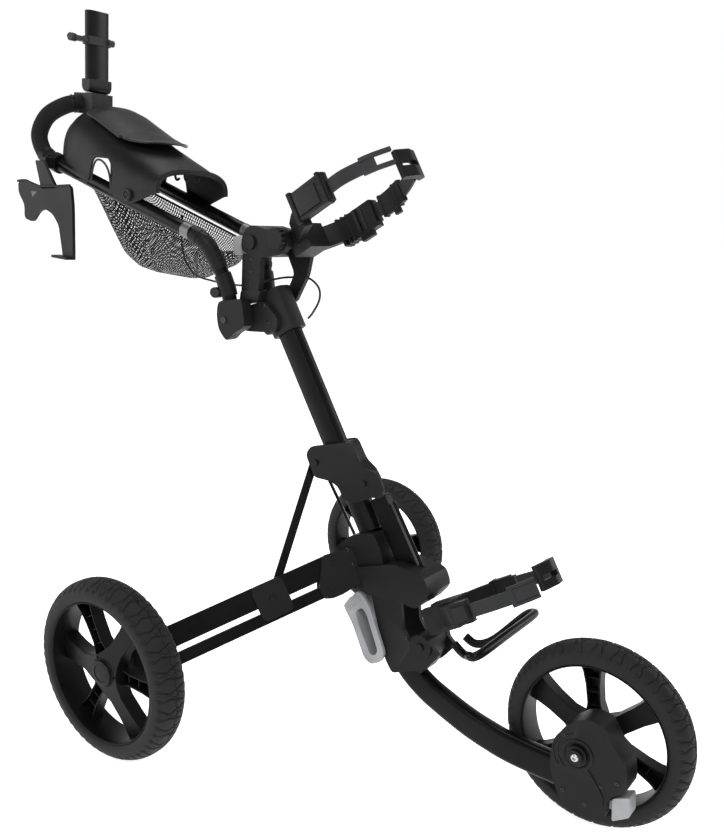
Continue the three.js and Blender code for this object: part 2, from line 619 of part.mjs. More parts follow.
// Half width, lower edge and crown of the console at each place along it.
const CONSOLE = [
  [-236, 84, 852, 889], [-264, 88, 840, 904], [-296, 91, 826, 918], [-345, 92, 834, 938],
  [-400, 92, 850, 968], [-445, 91, 858, 985], [-478, 88, 872, 984], [-494, 80, 884, 968],
];
const archSection = ([x, w, low, top], grow, drop) => {
  const ring = [];
  for (let i = 12; i >= 0; i--) {
    const a = (i / 12) * Math.PI;
    const c = Math.cos(a);
    const s = Math.sin(a);
    const y = (w + grow) * Math.sign(c) * Math.abs(c) ** 0.7;
    ring.push([x, y, low - drop + (top + grow - low + drop) * Math.abs(s) ** 0.7]);
  }
  return ring;
};
const consoleBody = (grow, drop) => loft(CONSOLE.map((s) => archSection(s, grow, drop)));
const consoleShell = () => {
  const last = CONSOLE.length - 1;
  const inner = CONSOLE.map(([x, ...size], i) => {
    const shift = { 0: 6, [last]: 4 }[i] ?? 0; // the front is open and the rear wall is thin
    return archSection([x + shift, ...size], -CONSOLE_WALL, 30);
  });
  const notch = sideSlab([[-410, 868], [-402, 899], [-350, 900], [-334, 846], [-400, 820]], -110, 110, 8);
  const tubes = [-1, 1].map((side) => swept(tubePath(side), HANDLE_TUBE_R + 0.5, 16));
  const collarRoom = swept(gripPath(), GRIP_R + 1, 30);
  const rooms = [loft(inner), notch, ...tubes, collarRoom];
  add(trolley, "console_shell", cut(consoleBody(0, 0), ...rooms), blackNylon);
};
const consoleLid = () => {
  const zone = box(-440, -345, -78, 78, 915, 1010);
  const lid = cut(common(consoleBody(4, 0), zone), consoleBody(0.6, 0));
  add(trolley, "console_lid", lid, blackNylon);
};
const BAG_BACK = -440;
const BAG_FRONT = -140;
const BAG_WALL = 2;
// Side view of the bag; with inset it is the hollow, which runs out through the top.
const bagSide = (inset) => {
  const rise = inset ? 30 : 0;
  return [
    [BAG_BACK + inset * 1.6, handleZ(BAG_BACK) - 15 + rise], [-362 + inset, 724 + inset],
    [-215 - inset, 711 + inset], [-150 - inset, 742 + inset],
    [BAG_FRONT - inset, handleZ(BAG_FRONT) - 18 + rise],
  ];
};
const bagEnd = (inset) => {
  const h = 60 - inset;
  const foot = 44 - inset;
  const low = 708 + inset;
  const shape = softOutline([[-h, 900], [-h, 760], [-foot, low], [foot, low], [h, 760], [h, 900]], 22);
  return extrude(shape, 340).rotateX(Math.PI / 2).rotateZ(Math.PI / 2).translate(-450, 0, 0);
};
const meshBag = () => {
  const outer = common(sideSlab(bagSide(0), -60, 60, 16), bagEnd(0));
  const inner = common(sideSlab(bagSide(BAG_WALL), -70, 70, 16), bagEnd(BAG_WALL));
  add(trolley, "mesh_bag", cut(outer, inner), netCloth);
};
const umbrella = () => {
  const foot = unite(
    box(UMBRELLA_X - 36, UMBRELLA_X + 16, -24, 24, 976, 1012),
    extrude(roundRect(20, 44, 8), 34).translate(UMBRELLA_X, 0, 992),
  );
  const gripRoom = swept(gripPath(), GRIP_R + GAP, 30);
  const tubeRoom = box(-540, -460, -30, 30, UMBRELLA_FOOT - 4, 1100);
  const shellRoom = consoleBody(1.2, 20);
  add(trolley, "umbrella_clamp", cut(foot, gripRoom, shellRoom, tubeRoom), blackNylon);
  const [deep, wide, r] = UMBRELLA_SECTION;
  const tube = cut(
    extrude(roundRect(deep, wide, r), UMBRELLA_LONG).translate(UMBRELLA_X, 0, UMBRELLA_FOOT),
    extrude(roundRect(deep - 5, wide - 5, r - 2), 160).translate(UMBRELLA_X, 0, 1004),
  );
  add(trolley, "umbrella_tube", tube, blackPaint);
  const strap = cut(
    unite(
      extrude(roundRect(26, 52, 10), 14).translate(UMBRELLA_X, 0, UMBRELLA_STRAP_Z),
      box(-508, -492, -52, -24, 1099, 1107),
      strapEnd(7, -500, -54),
      strapEnd(6, -486, 20),
    ),
    extrude(roundRect(deep + 0.8, wide + 0.8, r), 30).translate(UMBRELLA_X, 0, 1090),
  );
  add(trolley, "umbrella_strap", strap, darkRubber);
};
const strapEnd = (r, x, y) => pinY(r, x, UMBRELLA_STRAP_Z + 7, y - 6, y + 6, 12);
const drinkHolder = () => {
  const lug = box(DRINK_X - 7, DRINK_X + 7, -114, -94, 872, 890);
  const tubeRoom = swept(tubePath(-1), HANDLE_TUBE_R + GAP, 16);
  const ring = cut(unite(pinAlongHandle(DRINK_X, 18, 16), lug), tubeRoom);
  add(trolley, "drink_clamp", ring, blackNylon);
  const yoke = [
    [-590, 852], [-578, 838], [-500, 834], [-438, 838], [-434, 800], [-442, 716], [-460, 714],
    [-464, 760], [-480, 782], [-510, 790], [-532, 776], [-560, 770], [-566, 798], [-590, 808],
  ];
  const strut = [[-522, 884], [-498, 884], [-470, 826], [-500, 826]];
  const lip = box(-460, -442, -135, -117, 714, 720);
  const body = unite(sideSlab(yoke, ...DRINK_PLATE, 8), sideSlab(strut, ...DRINK_PLATE, 5), lip);
  add(trolley, "drink_bracket", body, blackNylon);
};
const pinAlongHandle = (x, r, length) => {
  const g = new THREE.CylinderGeometry(r, r, length, 16);
  g.rotateZ(Math.PI / 2).rotateY(Math.atan(HANDLE_SLOPE));
  return g.translate(x, -81, handleZ(x));
};
const brakeCable = () => {
  const route = [
    [-330, 64.5, 808], [-333, 64.5, 780], [-322, 64.5, 730], [-290, 62, 702], [-240, 60, 696],
    [-185, 54, 697], [-130, 30, 704], [-85, 28, 716], [-48, 37, 728], [-15, 40, 733],
    [12, 39, 734], [38, 32, 722], [50, 20, 704], [44, 12, 682], [38, 8, 672],
  ];
  add(trolley, "brake_cable", closed(swept(route, CABLE_R, 40, 8)), blackNylon);
};
const knobs = () => {
  const teeth = new THREE.Shape();
  const corners = 32;
  for (let i = 0; i < corners; i++) {
    const a = (i / corners) * 2 * Math.PI;
    const r = i % 2 ? 18.5 : 16.6;
    if (i) teeth.lineTo(r * Math.cos(a), r * Math.sin(a));
    else teeth.moveTo(r, 0);
  }
  const knob = unite(
    extrude(teeth, 12).rotateX(Math.PI / 2).translate(KNOB[0], -41, KNOB[1]),
    pinY(KNOB_STEM_R, ...KNOB, -44, 34),
  );
  add(trolley, "bracket_knob", knob, blackNylon);
  const cam = [[-104, 788], [-96, 796], [-80, 790], [-82, 764], [-98, 762]];
  add(trolley, "handle_cam_lever", closed(sideSlab(cam, -34, -14, 5)), greyPlastic);
};

wheel("right", 0, -HALF_TRACK, -1, -1, 62);
wheel("left", 0, HALF_TRACK, 1, 1, 20);
wheel("front", WHEELBASE, 0, -1, 1, 43);
mast();
collar();
bracket();
rearLeg("right", -1);
rearLeg("left", 1);
frontRail();
saddle();
latch();
frontLeg();
knuckle();
housing();
upperBracket();
lowerBracket();
bagRest();
sleeve();
post();
handleTube("right", -1);
handleTube("left", 1);
grip();
consoleShell();
consoleLid();
meshBag();
umbrella();
drinkHolder();
brakeCable();
knobs();
trolley.position.x = ORIGIN_SHIFT_X;

export default trolley;
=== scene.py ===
import math

import bmesh
import bpy
import numpy as np
from mathutils import Matrix, Vector
from mathutils.bvhtree import BVHTree


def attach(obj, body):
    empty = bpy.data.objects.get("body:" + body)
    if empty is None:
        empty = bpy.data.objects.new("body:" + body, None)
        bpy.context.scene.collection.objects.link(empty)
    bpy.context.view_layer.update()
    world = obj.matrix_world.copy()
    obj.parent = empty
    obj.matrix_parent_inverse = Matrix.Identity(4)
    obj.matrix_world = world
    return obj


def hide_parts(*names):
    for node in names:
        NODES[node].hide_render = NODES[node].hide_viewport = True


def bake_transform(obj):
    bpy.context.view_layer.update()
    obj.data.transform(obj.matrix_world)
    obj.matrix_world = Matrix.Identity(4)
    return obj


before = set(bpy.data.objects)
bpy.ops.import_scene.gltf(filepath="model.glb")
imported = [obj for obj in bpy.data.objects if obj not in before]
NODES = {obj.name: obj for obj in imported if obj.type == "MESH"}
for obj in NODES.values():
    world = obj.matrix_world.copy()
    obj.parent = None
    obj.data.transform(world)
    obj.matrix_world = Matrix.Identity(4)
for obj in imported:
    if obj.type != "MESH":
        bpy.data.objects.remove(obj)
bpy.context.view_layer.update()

# Drawn in millimetres from the floor under the rear axle; the row frame's origin is ahead of it.
ORIGIN_X = 104.5
WHEEL_R = 146
HALF_TRACK = 370
WHEELBASE = 653
LEAN = math.radians(34)
MAST_UP = Vector((-math.sin(LEAN), 0, math.cos(LEAN)))
BAG_OUT = Vector((math.cos(LEAN), 0, math.sin(LEAN)))
AXIS_Y = Vector((0, 1, 0))


def at(p):
    """A point in the row frame, in metres."""
    return Vector(((p[0] - ORIGIN_X) / 1000, p[1] / 1000, p[2] / 1000))


# ---- camera, light, floor ----
CAMERA_AT = (1016, -1207, 907)
YAW, PITCH, ROLL = (math.radians(a) for a in (123.23, -16.92, 5.47))
FOCAL_PX, CENTRE_PX = 916.5, (384.6, 460.3)
IMAGE = (724, 838)


def make_camera():
    data = bpy.data.cameras.new("camera")
    data.sensor_width = 36
    data.lens = FOCAL_PX * data.sensor_width / IMAGE[1]
    data.shift_x = (IMAGE[0] / 2 - CENTRE_PX[0]) / IMAGE[1]
    data.shift_y = (CENTRE_PX[1] - IMAGE[1] / 2) / IMAGE[1]
    data.clip_start = 0.05
    camera = bpy.data.objects.new("camera", data)
    forward = Vector((math.cos(PITCH) * math.cos(YAW), math.cos(PITCH) * math.sin(YAW), math.sin(PITCH)))
    right = Vector((math.sin(YAW), -math.cos(YAW), 0))
    up = right.cross(forward)
    turned = math.cos(ROLL) * right + math.sin(ROLL) * up
    above = -math.sin(ROLL) * right + math.cos(ROLL) * up
    camera.matrix_world = (
        Matrix.Translation(at(CAMERA_AT)) @ Matrix((turned, above, -forward)).transposed().to_4x4()
    )
    bpy.context.scene.collection.objects.link(camera)
    bpy.context.scene.camera = camera


make_camera()


def area_light(name, place, target, size, power):
    data = bpy.data.lights.new(name, "AREA")
    data.shape = "RECTANGLE"
    data.size, data.size_y = size
    data.energy = power
    light = bpy.data.objects.new(name, data)
    light.location = place
    light.rotation_euler = (Vector(target) - Vector(place)).to_track_quat("-Z", "Y").to_euler()
    bpy.context.scene.collection.objects.link(light)


area_light("key", (1.3, -1.9, 2.7), (0, 0, 0.4), (1.4, 1.0), 46)
area_light("top", (-0.6, 0.5, 2.9), (0, 0, 0.4), (1.8, 1.8), 38)
area_light("side", (-2.4, -1.7, 1.3), (0, 0, 0.5), (0.9, 1.8), 22)
area_light("rim", (1.6, 2.2, 1.5), (0, 0, 0.5), (1.2, 1.4), 22)
SKY_TOP = 0.18  # how bright the room is overhead, against 1 at the horizon
world = bpy.data.worlds.new("studio")
bpy.context.scene.world = world
world.use_nodes = True
sky = world.node_tree
sky.nodes["Background"].inputs["Color"].default_value = (1, 1, 1, 1)
heading = sky.nodes.new("ShaderNodeTexCoord")
height = sky.nodes.new("ShaderNodeSeparateXYZ")
fade = sky.nodes.new("ShaderNodeMapRange")
fade.inputs["From Min"].default_value = 0.22
fade.inputs["From Max"].default_value = 0.5
fade.inputs["To Min"].default_value = 1.0
fade.inputs["To Max"].default_value = SKY_TOP
sky.links.new(heading.outputs["Generated"], height.inputs["Vector"])
sky.links.new(height.outputs["Z"], fade.inputs["Value"])
sky.links.new(fade.outputs["Result"], sky.nodes["Background"].inputs["Strength"])
bpy.context.scene.view_settings.view_transform = "Standard"


# ---- materials ----
PATCH_SCALE = 22  # of the slow noise in colour and gloss
NET_CELL = 4.2  # mm from one hole of the net to the next
THREAD_SHARE = 0.22  # how much of a cell is thread


def surface(
    name, color, rough, metal=0.0, grain=(900, 0.05), patch=0.18, rough_spread=0.1, coat=0.0, painted_edge_highlight=None,
    shine=0.5
):
    """Moulded or painted stuff: fine bump, slow patches in colour and gloss, and convex edges made paler as a
    painted highlight.
    """
    material = bpy.data.materials.new(name)
    material.use_nodes = True
    tree = material.node_tree
    new, link = tree.nodes.new, tree.links.new
    shader = tree.nodes["Principled BSDF"]
    shader.inputs["Metallic"].default_value = metal
    shader.inputs["Specular IOR Level"].default_value = shine
    shader.inputs["Coat Weight"].default_value = coat
    shader.inputs["Coat Roughness"].default_value = 0.25
    where = new("ShaderNodeTexCoord")
    slow = new("ShaderNodeTexNoise")
    slow.inputs["Scale"].default_value = PATCH_SCALE
    slow.inputs["Detail"].default_value = 5
    link(where.outputs["Object"], slow.inputs["Vector"])
    ramp = new("ShaderNodeValToRGB")
    low = [c * (1 - patch) for c in color]
    high = [min(1, c * (1 + patch)) for c in color]
    ramp.color_ramp.elements[0].position = 0.3
    ramp.color_ramp.elements[1].position = 0.7
    ramp.color_ramp.elements[0].color = (*low, 1)
    ramp.color_ramp.elements[1].color = (*high, 1)
    link(slow.outputs["Fac"], ramp.inputs["Fac"])
    tone = ramp.outputs["Color"]
    # Painted highlight: edges picked out by pointiness are mixed towards a paler colour, which stands in for light
    # caught on the edges.
    if painted_edge_highlight:
        geometry = new("ShaderNodeNewGeometry")
        edge = new("ShaderNodeMapRange")
        edge.inputs["From Min"].default_value = 0.53
        edge.inputs["From Max"].default_value = 0.62
        edge.inputs["To Max"].default_value = 0.5
        link(geometry.outputs["Pointiness"], edge.inputs["Value"])
        mix = new("ShaderNodeMix")
        mix.data_type = "RGBA"
        link(edge.outputs["Result"], mix.inputs["Factor"])
        link(tone, mix.inputs["A"])
        mix.inputs["B"].default_value = (*painted_edge_highlight, 1)
        tone = mix.outputs["Result"]
    link(tone, shader.inputs["Base Color"])
    gloss = new("ShaderNodeMapRange")
    gloss.inputs["To Min"].default_value = rough - rough_spread
    gloss.inputs["To Max"].default_value = rough + rough_spread
    link(slow.outputs["Fac"], gloss.inputs["Value"])
    link(gloss.outputs["Result"], shader.inputs["Roughness"])
    fine = new("ShaderNodeTexNoise")
    fine.inputs["Scale"].default_value = grain[0]
    fine.inputs["Detail"].default_value = 3
    link(where.outputs["Object"], fine.inputs["Vector"])
    bump = new("ShaderNodeBump")
    bump.inputs["Strength"].default_value = grain[1]
    bump.inputs["Distance"].default_value = 0.001
    link(fine.outputs["Fac"], bump.inputs["Height"])
    link(bump.outputs["Normal"], shader.inputs["Normal"])
    return material


# Each pale edge colour given below is a painted highlight on the part's edges.
PAINT = surface(
    "black_paint", (0.003, 0.0031, 0.0034), 0.3, grain=(1400, 0.03), coat=0.03,
    painted_edge_highlight=(0.014, 0.014, 0.015), shine=0.1
)
NYLON = surface(
    "black_nylon", (0.006, 0.0061, 0.0064), 0.45, grain=(1100, 0.2), painted_edge_highlight=(0.022, 0.022, 0.023),
    shine=0.15
)
RIM = surface(
    "rim_nylon", (0.0035, 0.0036, 0.0038), 0.42, grain=(900, 0.12), painted_edge_highlight=(0.016, 0.016, 0.017), shine=0.12
)
TYRE = surface(
    "tyre_rubber", (0.0125, 0.0126, 0.0128), 0.62, grain=(700, 0.25), painted_edge_highlight=(0.034, 0.034, 0.034),
    shine=0.16
)
STRAP = surface(
    "strap_rubber", (0.021, 0.0215, 0.0228), 0.58, grain=(1500, 0.15), painted_edge_highlight=(0.05, 0.05, 0.052), shine=0.2
)
FOAM = surface(
    "grip_foam", (0.0085, 0.0086, 0.009), 0.72, grain=(1900, 0.5), painted_edge_highlight=(0.024, 0.024, 0.025), shine=0.14
)
GREY = surface(
    "grey_plastic", (0.26, 0.265, 0.275), 0.42, grain=(1200, 0.1), painted_edge_highlight=(0.42, 0.42, 0.43), shine=0.4
)
STEEL = surface("zinc_screw", (0.5, 0.51, 0.52), 0.3, 0.9, grain=(1600, 0.05))
DARK_STEEL = surface("black_screw", (0.02, 0.02, 0.021), 0.28, 0.3, grain=(1600, 0.05), shine=0.4)
BAND = surface("silver_band", (0.11, 0.112, 0.116), 0.35, 0.3, grain=(1300, 0.05))


def net_material():
    """Knitted net: threads round small diamond holes."""
    material = surface("net_thread", (0.008, 0.0082, 0.0086), 0.7, grain=(2500, 0.3), shine=0.12)
    tree = material.node_tree
    where = tree.nodes.new("ShaderNodeUVMap")
    cells = tree.nodes.new("ShaderNodeTexVoronoi")
    cells.voronoi_dimensions = "2D"
    cells.feature = "DISTANCE_TO_EDGE"
    cells.inputs["Randomness"].default_value = 0
    cells.inputs["Scale"].default_value = 1
    turn = tree.nodes.new("ShaderNodeMapping")
    turn.inputs["Rotation"].default_value = (0, 0, math.radians(45))
    turn.inputs["Scale"].default_value = (1 / NET_CELL, 1 / NET_CELL, 1)
    thread = tree.nodes.new("ShaderNodeMath")
    thread.operation = "LESS_THAN"
    thread.inputs[1].default_value = THREAD_SHARE
    tree.links.new(where.outputs["UV"], turn.inputs["Vector"])
    tree.links.new(turn.outputs["Vector"], cells.inputs["Vector"])
    tree.links.new(cells.outputs["Distance"], thread.inputs[0])
    tree.links.new(thread.outputs["Value"], tree.nodes["Principled BSDF"].inputs["Alpha"])
    return material


NET = net_material()


# ---- mesh helpers ----
WELD_M = 2e-6  # corners closer than this are one
CURVE_STEPS = 16  # points of a curve between two given ones


def piece(name, vertices, faces, body, material, angle=38, replaces=(), slot=None, bevel=0.0, uv=None):
    mesh = bpy.data.meshes.new(name)
    mesh.from_pydata([at(v) for v in vertices], [], faces)
    if uv is not None:
        layer = mesh.uv_layers.new(name="UVMap")
        for loop in mesh.loops:
            layer.data[loop.index].uv = uv[loop.vertex_index]
    work = bmesh.new()
    work.from_mesh(mesh)
    bmesh.ops.remove_doubles(work, verts=work.verts, dist=WELD_M)
    bmesh.ops.recalc_face_normals(work, faces=work.faces)
    work.to_mesh(mesh)
    work.free()
    obj = bpy.data.objects.new(name, mesh)
    bpy.context.scene.collection.objects.link(obj)
    obj.data.materials.append(material)
    mesh.polygons.foreach_set("use_smooth", [True] * len(mesh.polygons))
    mesh.set_sharp_from_angle(angle=math.radians(angle))
    if bevel:
        soften(obj, bevel)
    if body:
        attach(obj, body)
    if replaces:
        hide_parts(*replaces)
    return obj


def soften(obj, width, angle=28, segments=2):
    mod = obj.modifiers.new("edge", "BEVEL")
    mod.width = width / 1000
    mod.segments = segments
    mod.limit_method = "ANGLE"
    mod.angle_limit = math.radians(angle)
    mod.harden_normals = True
    mod.miter_outer = "MITER_ARC"


def solids(*parts):
    """Several (vertices, faces) lists as one."""
    vertices, faces = [], []
    for v, f in parts:
        n = len(vertices)
        vertices += [Vector(p) for p in v]
        faces += [[i + n for i in face] for face in f]
    return vertices, faces


def catmull(points, steps, closed=False):
    """Points along a smooth curve through the given ones, evenly spaced."""
    pts = [Vector(p) for p in points]
    n = len(pts)
    spans = n if closed else n - 1
    out = []
    for i in range(spans):
        if closed:
            a, b, c, d = (pts[(i + k - 1) % n] for k in range(4))
        else:
            a, b, c, d = pts[max(i - 1, 0)], pts[i], pts[i + 1], pts[min(i + 2, n - 1)]
        for k in range(CURVE_STEPS):
            t = k / CURVE_STEPS
            out.append(
                0.5
                * ((2 * b) + (c - a) * t + (2 * a - 5 * b + 4 * c - d) * t**2
                   + (3 * b - a - 3 * c + d) * t**3)
            )
    out.append(pts[0].copy() if closed else pts[-1])
    lengths = [0.0]
    for a, b in zip(out, out[1:]):
        lengths.append(lengths[-1] + (b - a).length)
    even = []
    j = 0
    for k in range(steps + 1):
        want = lengths[-1] * k / steps
        while j < len(lengths) - 2 and lengths[j + 1] < want:
            j += 1
        part = (want - lengths[j]) / max(lengths[j + 1] - lengths[j], 1e-9)
        even.append(out[j].lerp(out[j + 1], part))
    return even


def sweep(points, section, steps, closed=False, first=None):
    """A tube of the given section (list of x, y) along a smooth curve, without twist."""
    path = catmull(points, steps, closed)
    if closed:
        path = path[:-1]
    n, m = len(path), len(section)
    tangents = []
    for i in range(n):
        a = path[(i - 1) % n] if closed or i else path[0]
        b = path[(i + 1) % n] if closed or i < n - 1 else path[-1]
        tangents.append((b - a).normalized())
    side = Vector(first) if first else Vector((0, 0, 1)).cross(tangents[0])
    if side.length < 0.1:
        side = Vector((1, 0, 0))
    vertices = []
    for p, t in zip(path, tangents):
        side = (side - side.dot(t) * t).normalized()
        other = t.cross(side)
        vertices += [p + side * x + other * y for x, y in section]
    faces = []
    for i in range(n if closed else n - 1):
        for k in range(m):
            a, b = i * m + k, i * m + (k + 1) % m
            c, d = ((i + 1) % n) * m + (k + 1) % m, ((i + 1) % n) * m + k
            faces.append([a, b, c, d])
    if not closed:
        faces.append(list(range(m))[::-1])
        faces.append([(n - 1) * m + k for k in range(m)])
    return vertices, faces


def round_section(r, sides=28):
    return [
        (r * math.cos(2 * math.pi * k / sides), r * math.sin(2 * math.pi * k / sides)) for k in range(sides)
    ]


def rect_section(w, h, r, corner=5):
    out = []
    for cx, cy, start in ((1, 1, 0), (-1, 1, 90), (-1, -1, 180), (1, -1, 270)):
        for k in range(corner + 1):
            a = math.radians(start + 90 * k / corner)
            out.append((cx * (w / 2 - r) + r * math.cos(a), cy * (h / 2 - r) + r * math.sin(a)))
    return out


def lathe(profile, sides, centre=(0, 0, 0), axis=AXIS_Y, closed=True):
    """A profile of (radius, distance along the axis), turned about the axis through centre."""
    axis = Vector(axis).normalized()
    side = axis.orthogonal().normalized()
    other = axis.cross(side)
    vertices, faces = [], []
    m = len(profile)
    for k in range(sides):
        a = 2 * math.pi * k / sides
        out = side * math.cos(a) + other * math.sin(a)
        vertices += [Vector(centre) + out * r + axis * y for r, y in profile]
    for k in range(sides):
        for i in range(m if closed else m - 1):
            j = (i + 1) % m
            quad = [k * m + i, k * m + j, ((k + 1) % sides) * m + j, ((k + 1) % sides) * m + i]
            faces.append(quad)
    return vertices, faces


def prism(outline, low, high, frame3):
    """A plan outline carried from low to high along the third axis of (origin, e1, e2, e3)."""
    origin, e1, e2, e3 = (Vector(v) for v in frame3)
    n = len(outline)
    vertices = [origin + e1 * x + e2 * y + e3 * low for x, y in outline]
    vertices += [origin + e1 * x + e2 * y + e3 * high for x, y in outline]
    faces = [list(range(n))[::-1], [n + i for i in range(n)]]
    faces += [[i, (i + 1) % n, n + (i + 1) % n, n + i] for i in range(n)]
    return vertices, faces


def rounded(points, r, corner=4):
    out = []
    n = len(points)
    for i, p in enumerate(points):
        here = Vector(p)
        before = Vector(points[i - 1]) - here
        after = Vector(points[(i + 1) % n]) - here
        reach = min(r, before.length * 0.45, after.length * 0.45)
        a, b = here + before.normalized() * reach, here + after.normalized() * reach
        for k in range(corner + 1):
            t = k / corner
            out.append(tuple((1 - t) ** 2 * a + 2 * t * (1 - t) * here + t * t * b))
    return out


SIDE = (Vector((0, 0, 0)), Vector((1, 0, 0)), Vector((0, 0, 1)), Vector((0, 1, 0)))


def screw_head(name, place, axis, r, body, material=DARK_STEEL, dome=0.45, recess=0.5):
    """A domed socket screw with a hexagonal recess, its base at place."""
    axis = Vector(axis).normalized()
    side = axis.orthogonal().normalized()
    other = axis.cross(side)
    rings = [(1.0, -0.15), (1.0, 0.12), (0.93, dome * 0.55), (0.8, dome * 0.82), (recess + 0.1, dome)]
    sides = 24
    vertices, faces = [], []
    for radius, height in rings:
        for k in range(sides):
            a = 2 * math.pi * k / sides
            vertices.append(
                Vector(place) + (side * math.cos(a) + other * math.sin(a)) * r * radius + axis * r * height
            )
    for depth in (dome, dome - 0.4):
        for k in range(sides):
            a = 2 * math.pi * k / sides
            flat = recess * math.cos(math.pi / 6) / math.cos((a % (math.pi / 3)) - math.pi / 6)
            vertices.append(
                Vector(place) + (side * math.cos(a) + other * math.sin(a)) * r * flat + axis * r * depth
            )
    total = len(rings) + 2
    for i in range(total - 1):
        for k in range(sides):
            faces.append(
                [
                    i * sides + k, i * sides + (k + 1) % sides, (i + 1) * sides + (k + 1) % sides,
                    (i + 1) * sides + k
                ]
            )
    faces.append([(total - 1) * sides + k for k in range(sides)])
    faces.append([k for k in range(sides)][::-1])
    return piece(name, vertices, faces, body, material, angle=40)


def dress(node, material, bevel=0.8, angle=28):
    """A CAD node keeps its shape: its edges are rounded and its faces get the material."""
    obj = NODES[node]
    obj.data.materials.clear()
    obj.data.materials.append(material)
    obj.data.polygons.foreach_set("material_index", [0] * len(obj.data.polygons))
    if "custom_normal" in obj.data.attributes:
        obj.data.attributes.remove(obj.data.attributes["custom_normal"])
    weld = obj.modifiers.new("weld", "WELD")
    weld.merge_threshold = 2e-5
    if bevel:
        soften(obj, bevel, angle)
    obj.data.polygons.foreach_set("use_smooth", [True] * len(obj.data.polygons))


# ---- wheels ----
TREAD_PITCH = 28  # loops round the tyre
GROOVE_DEPTH = 2.2
NOTCH_DEPTH = 2.6


def line(distance, half):
    """1 on a groove's middle line, fading to 0 at half a groove away from it."""
    return max(0.0, min(1.0, 1.5 * (1 - abs(distance) / half)))


def groove(a, s):
    """Depth of the tread's grooves at turn a of the pattern, with s from -1 to 1 across the tread."""
    deep = 0.0
    for sign in (-1, 1):
        u = (a + (0.5 if sign > 0 else 0.0)) % 1.0 - 0.5
        v = s * sign
        waist = 0.2 + 0.06 * math.cos(7.0 * v)
        if v > 0.12:
            deep = max(deep, GROOVE_DEPTH * line(abs(u) - waist, 0.05))
        else:
            deep = max(
                deep, GROOVE_DEPTH * line(math.hypot(u / 0.24, (v - 0.12) / 0.2) - 1, 0.2) * (v > -0.14)
            )
        half_pitch = (2 * a + 0.25) % 1.0 - 0.5
        if v > 0.82:
            deep = max(deep, NOTCH_DEPTH * line(half_pitch, 0.16) * min(1.0, (v - 0.82) / 0.08))
    wave = ((a + 0.09 * math.sin(9 * s)) % 1.0) - 0.5
    if abs(s) < 0.62:
        deep = max(deep, 0.7 * GROOVE_DEPTH * line(wave, 0.03))
    return deep


def tyre(name, cx, cy, body):
    profile = [(114.4, -23.4), (116, -26.2), (119, -27.8), (123, -28), (127.5, -27.6), (132, -26.7)]
    crown = [(146 - 11.5 * (abs(y) / 26) ** 2.6, y) for y in np.linspace(-25.4, 25.4, 49)]
    profile += crown + [(r, -y) for r, y in profile[::-1]]
    around = 720
    n = len(profile)
    vertices, faces = [], []
    for k in range(around):
        t = 2 * math.pi * k / around
        for r, y in profile:
            s = y / 26
            if r > 133:
                r = r - groove(k / around * TREAD_PITCH, s)
            vertices.append((cx + r * math.sin(t), cy + y, WHEEL_R + r * math.cos(t)))
    for k in range(around):
        for i in range(n):
            j = (i + 1) % n
            faces.append([k * n + i, k * n + j, ((k + 1) % around) * n + j, ((k + 1) % around) * n + i])
    piece(
        "tyre_tread_" + name, vertices, faces, body, TYRE, angle=50, replaces=["tyre_" + name],
        slot="tyre_rubber"
    )


ARM_LEAN = 0.2  # the closed arms slope back from the hub to the barrel


def arm_outline(wide_rim, wide_mid, wide_hub):
    half = [
        (14, wide_hub), (30, wide_mid + 5), (48, wide_mid), (78, wide_mid + 0.8), (98, wide_mid + 3.5),
        (113, wide_rim)
    ]
    return half + [(x, -y) for x, y in half[::-1]]


def leaning(outline, low, high, local, lean):
    """A prism whose plan slopes back by lean for each millimetre beyond the hub."""
    origin, e1, e2, e3 = local
    vertices, faces = prism(outline, low, high, local)
    sloped = []
    for v in vertices:
        out = (v - origin).dot(e1)
        sloped.append(v - e3 * lean * max(0.0, out - 26))
    return sloped, faces


def rim(name, cx, cy, face, phase, body):
    """Deep plain barrel with six arms: three with a closed outer face, three open channels set back."""
    centre = (cx, cy, WHEEL_R)
    axis = Vector((0, face, 0))  # towards the side that shows the closed arms
    lip = [(111.9, 23), (112.6, 25), (114.2, 25.2)]
    barrel = lathe(lip + [(r, -y) for r, y in lip[::-1]], 96, centre, axis)
    boss = [(8.2, -21), (18, -21), (20.5, -17), (21, 12), (24, 16.5), (22.4, 18.8), (8.2, 18.8)]
    parts = [barrel, lathe(boss, 48, centre, axis)]
    for i in range(6):
        a = math.radians(phase + 60 * i)
        e1 = Vector((math.cos(a), 0, math.sin(a)))
        local = (Vector(centre), e1, axis.cross(e1), axis)
        closed = i % 2 == 0
        lean = ARM_LEAN if closed else 0.0
        outline = arm_outline(21, 14, 25) if closed else arm_outline(19, 10.5, 14)
        skin_low, skin_high = (13.5, 17) if closed else (-13.5, -10)
        parts.append(leaning(outline, skin_low, skin_high, local, lean))
        low, high = (-6, 14) if closed else (-11, 8)
        half = outline[: len(outline) // 2]
        for sign in (-1, 1):
            wall = [(x, sign * y) for x, y in half] + [(x, sign * (y - 2.6)) for x, y in half[::-1]]
            parts.append(leaning(wall if sign < 0 else wall[::-1], low, high, local, lean))
        for x in (44, 66, 88):
            rib = [(x - 1, -9.5), (x + 1, -9.5), (x + 1, 9.5), (x - 1, 9.5)]
            parts.append(leaning(rib, low + 2, high - (0 if closed else 4), local, lean))
    slot = "black_nylon"
    piece(
        "rim_arms_" + name, *solids(*parts), body, RIM, angle=30, replaces=["rim_" + name], slot=slot,
        bevel=0.9
    )


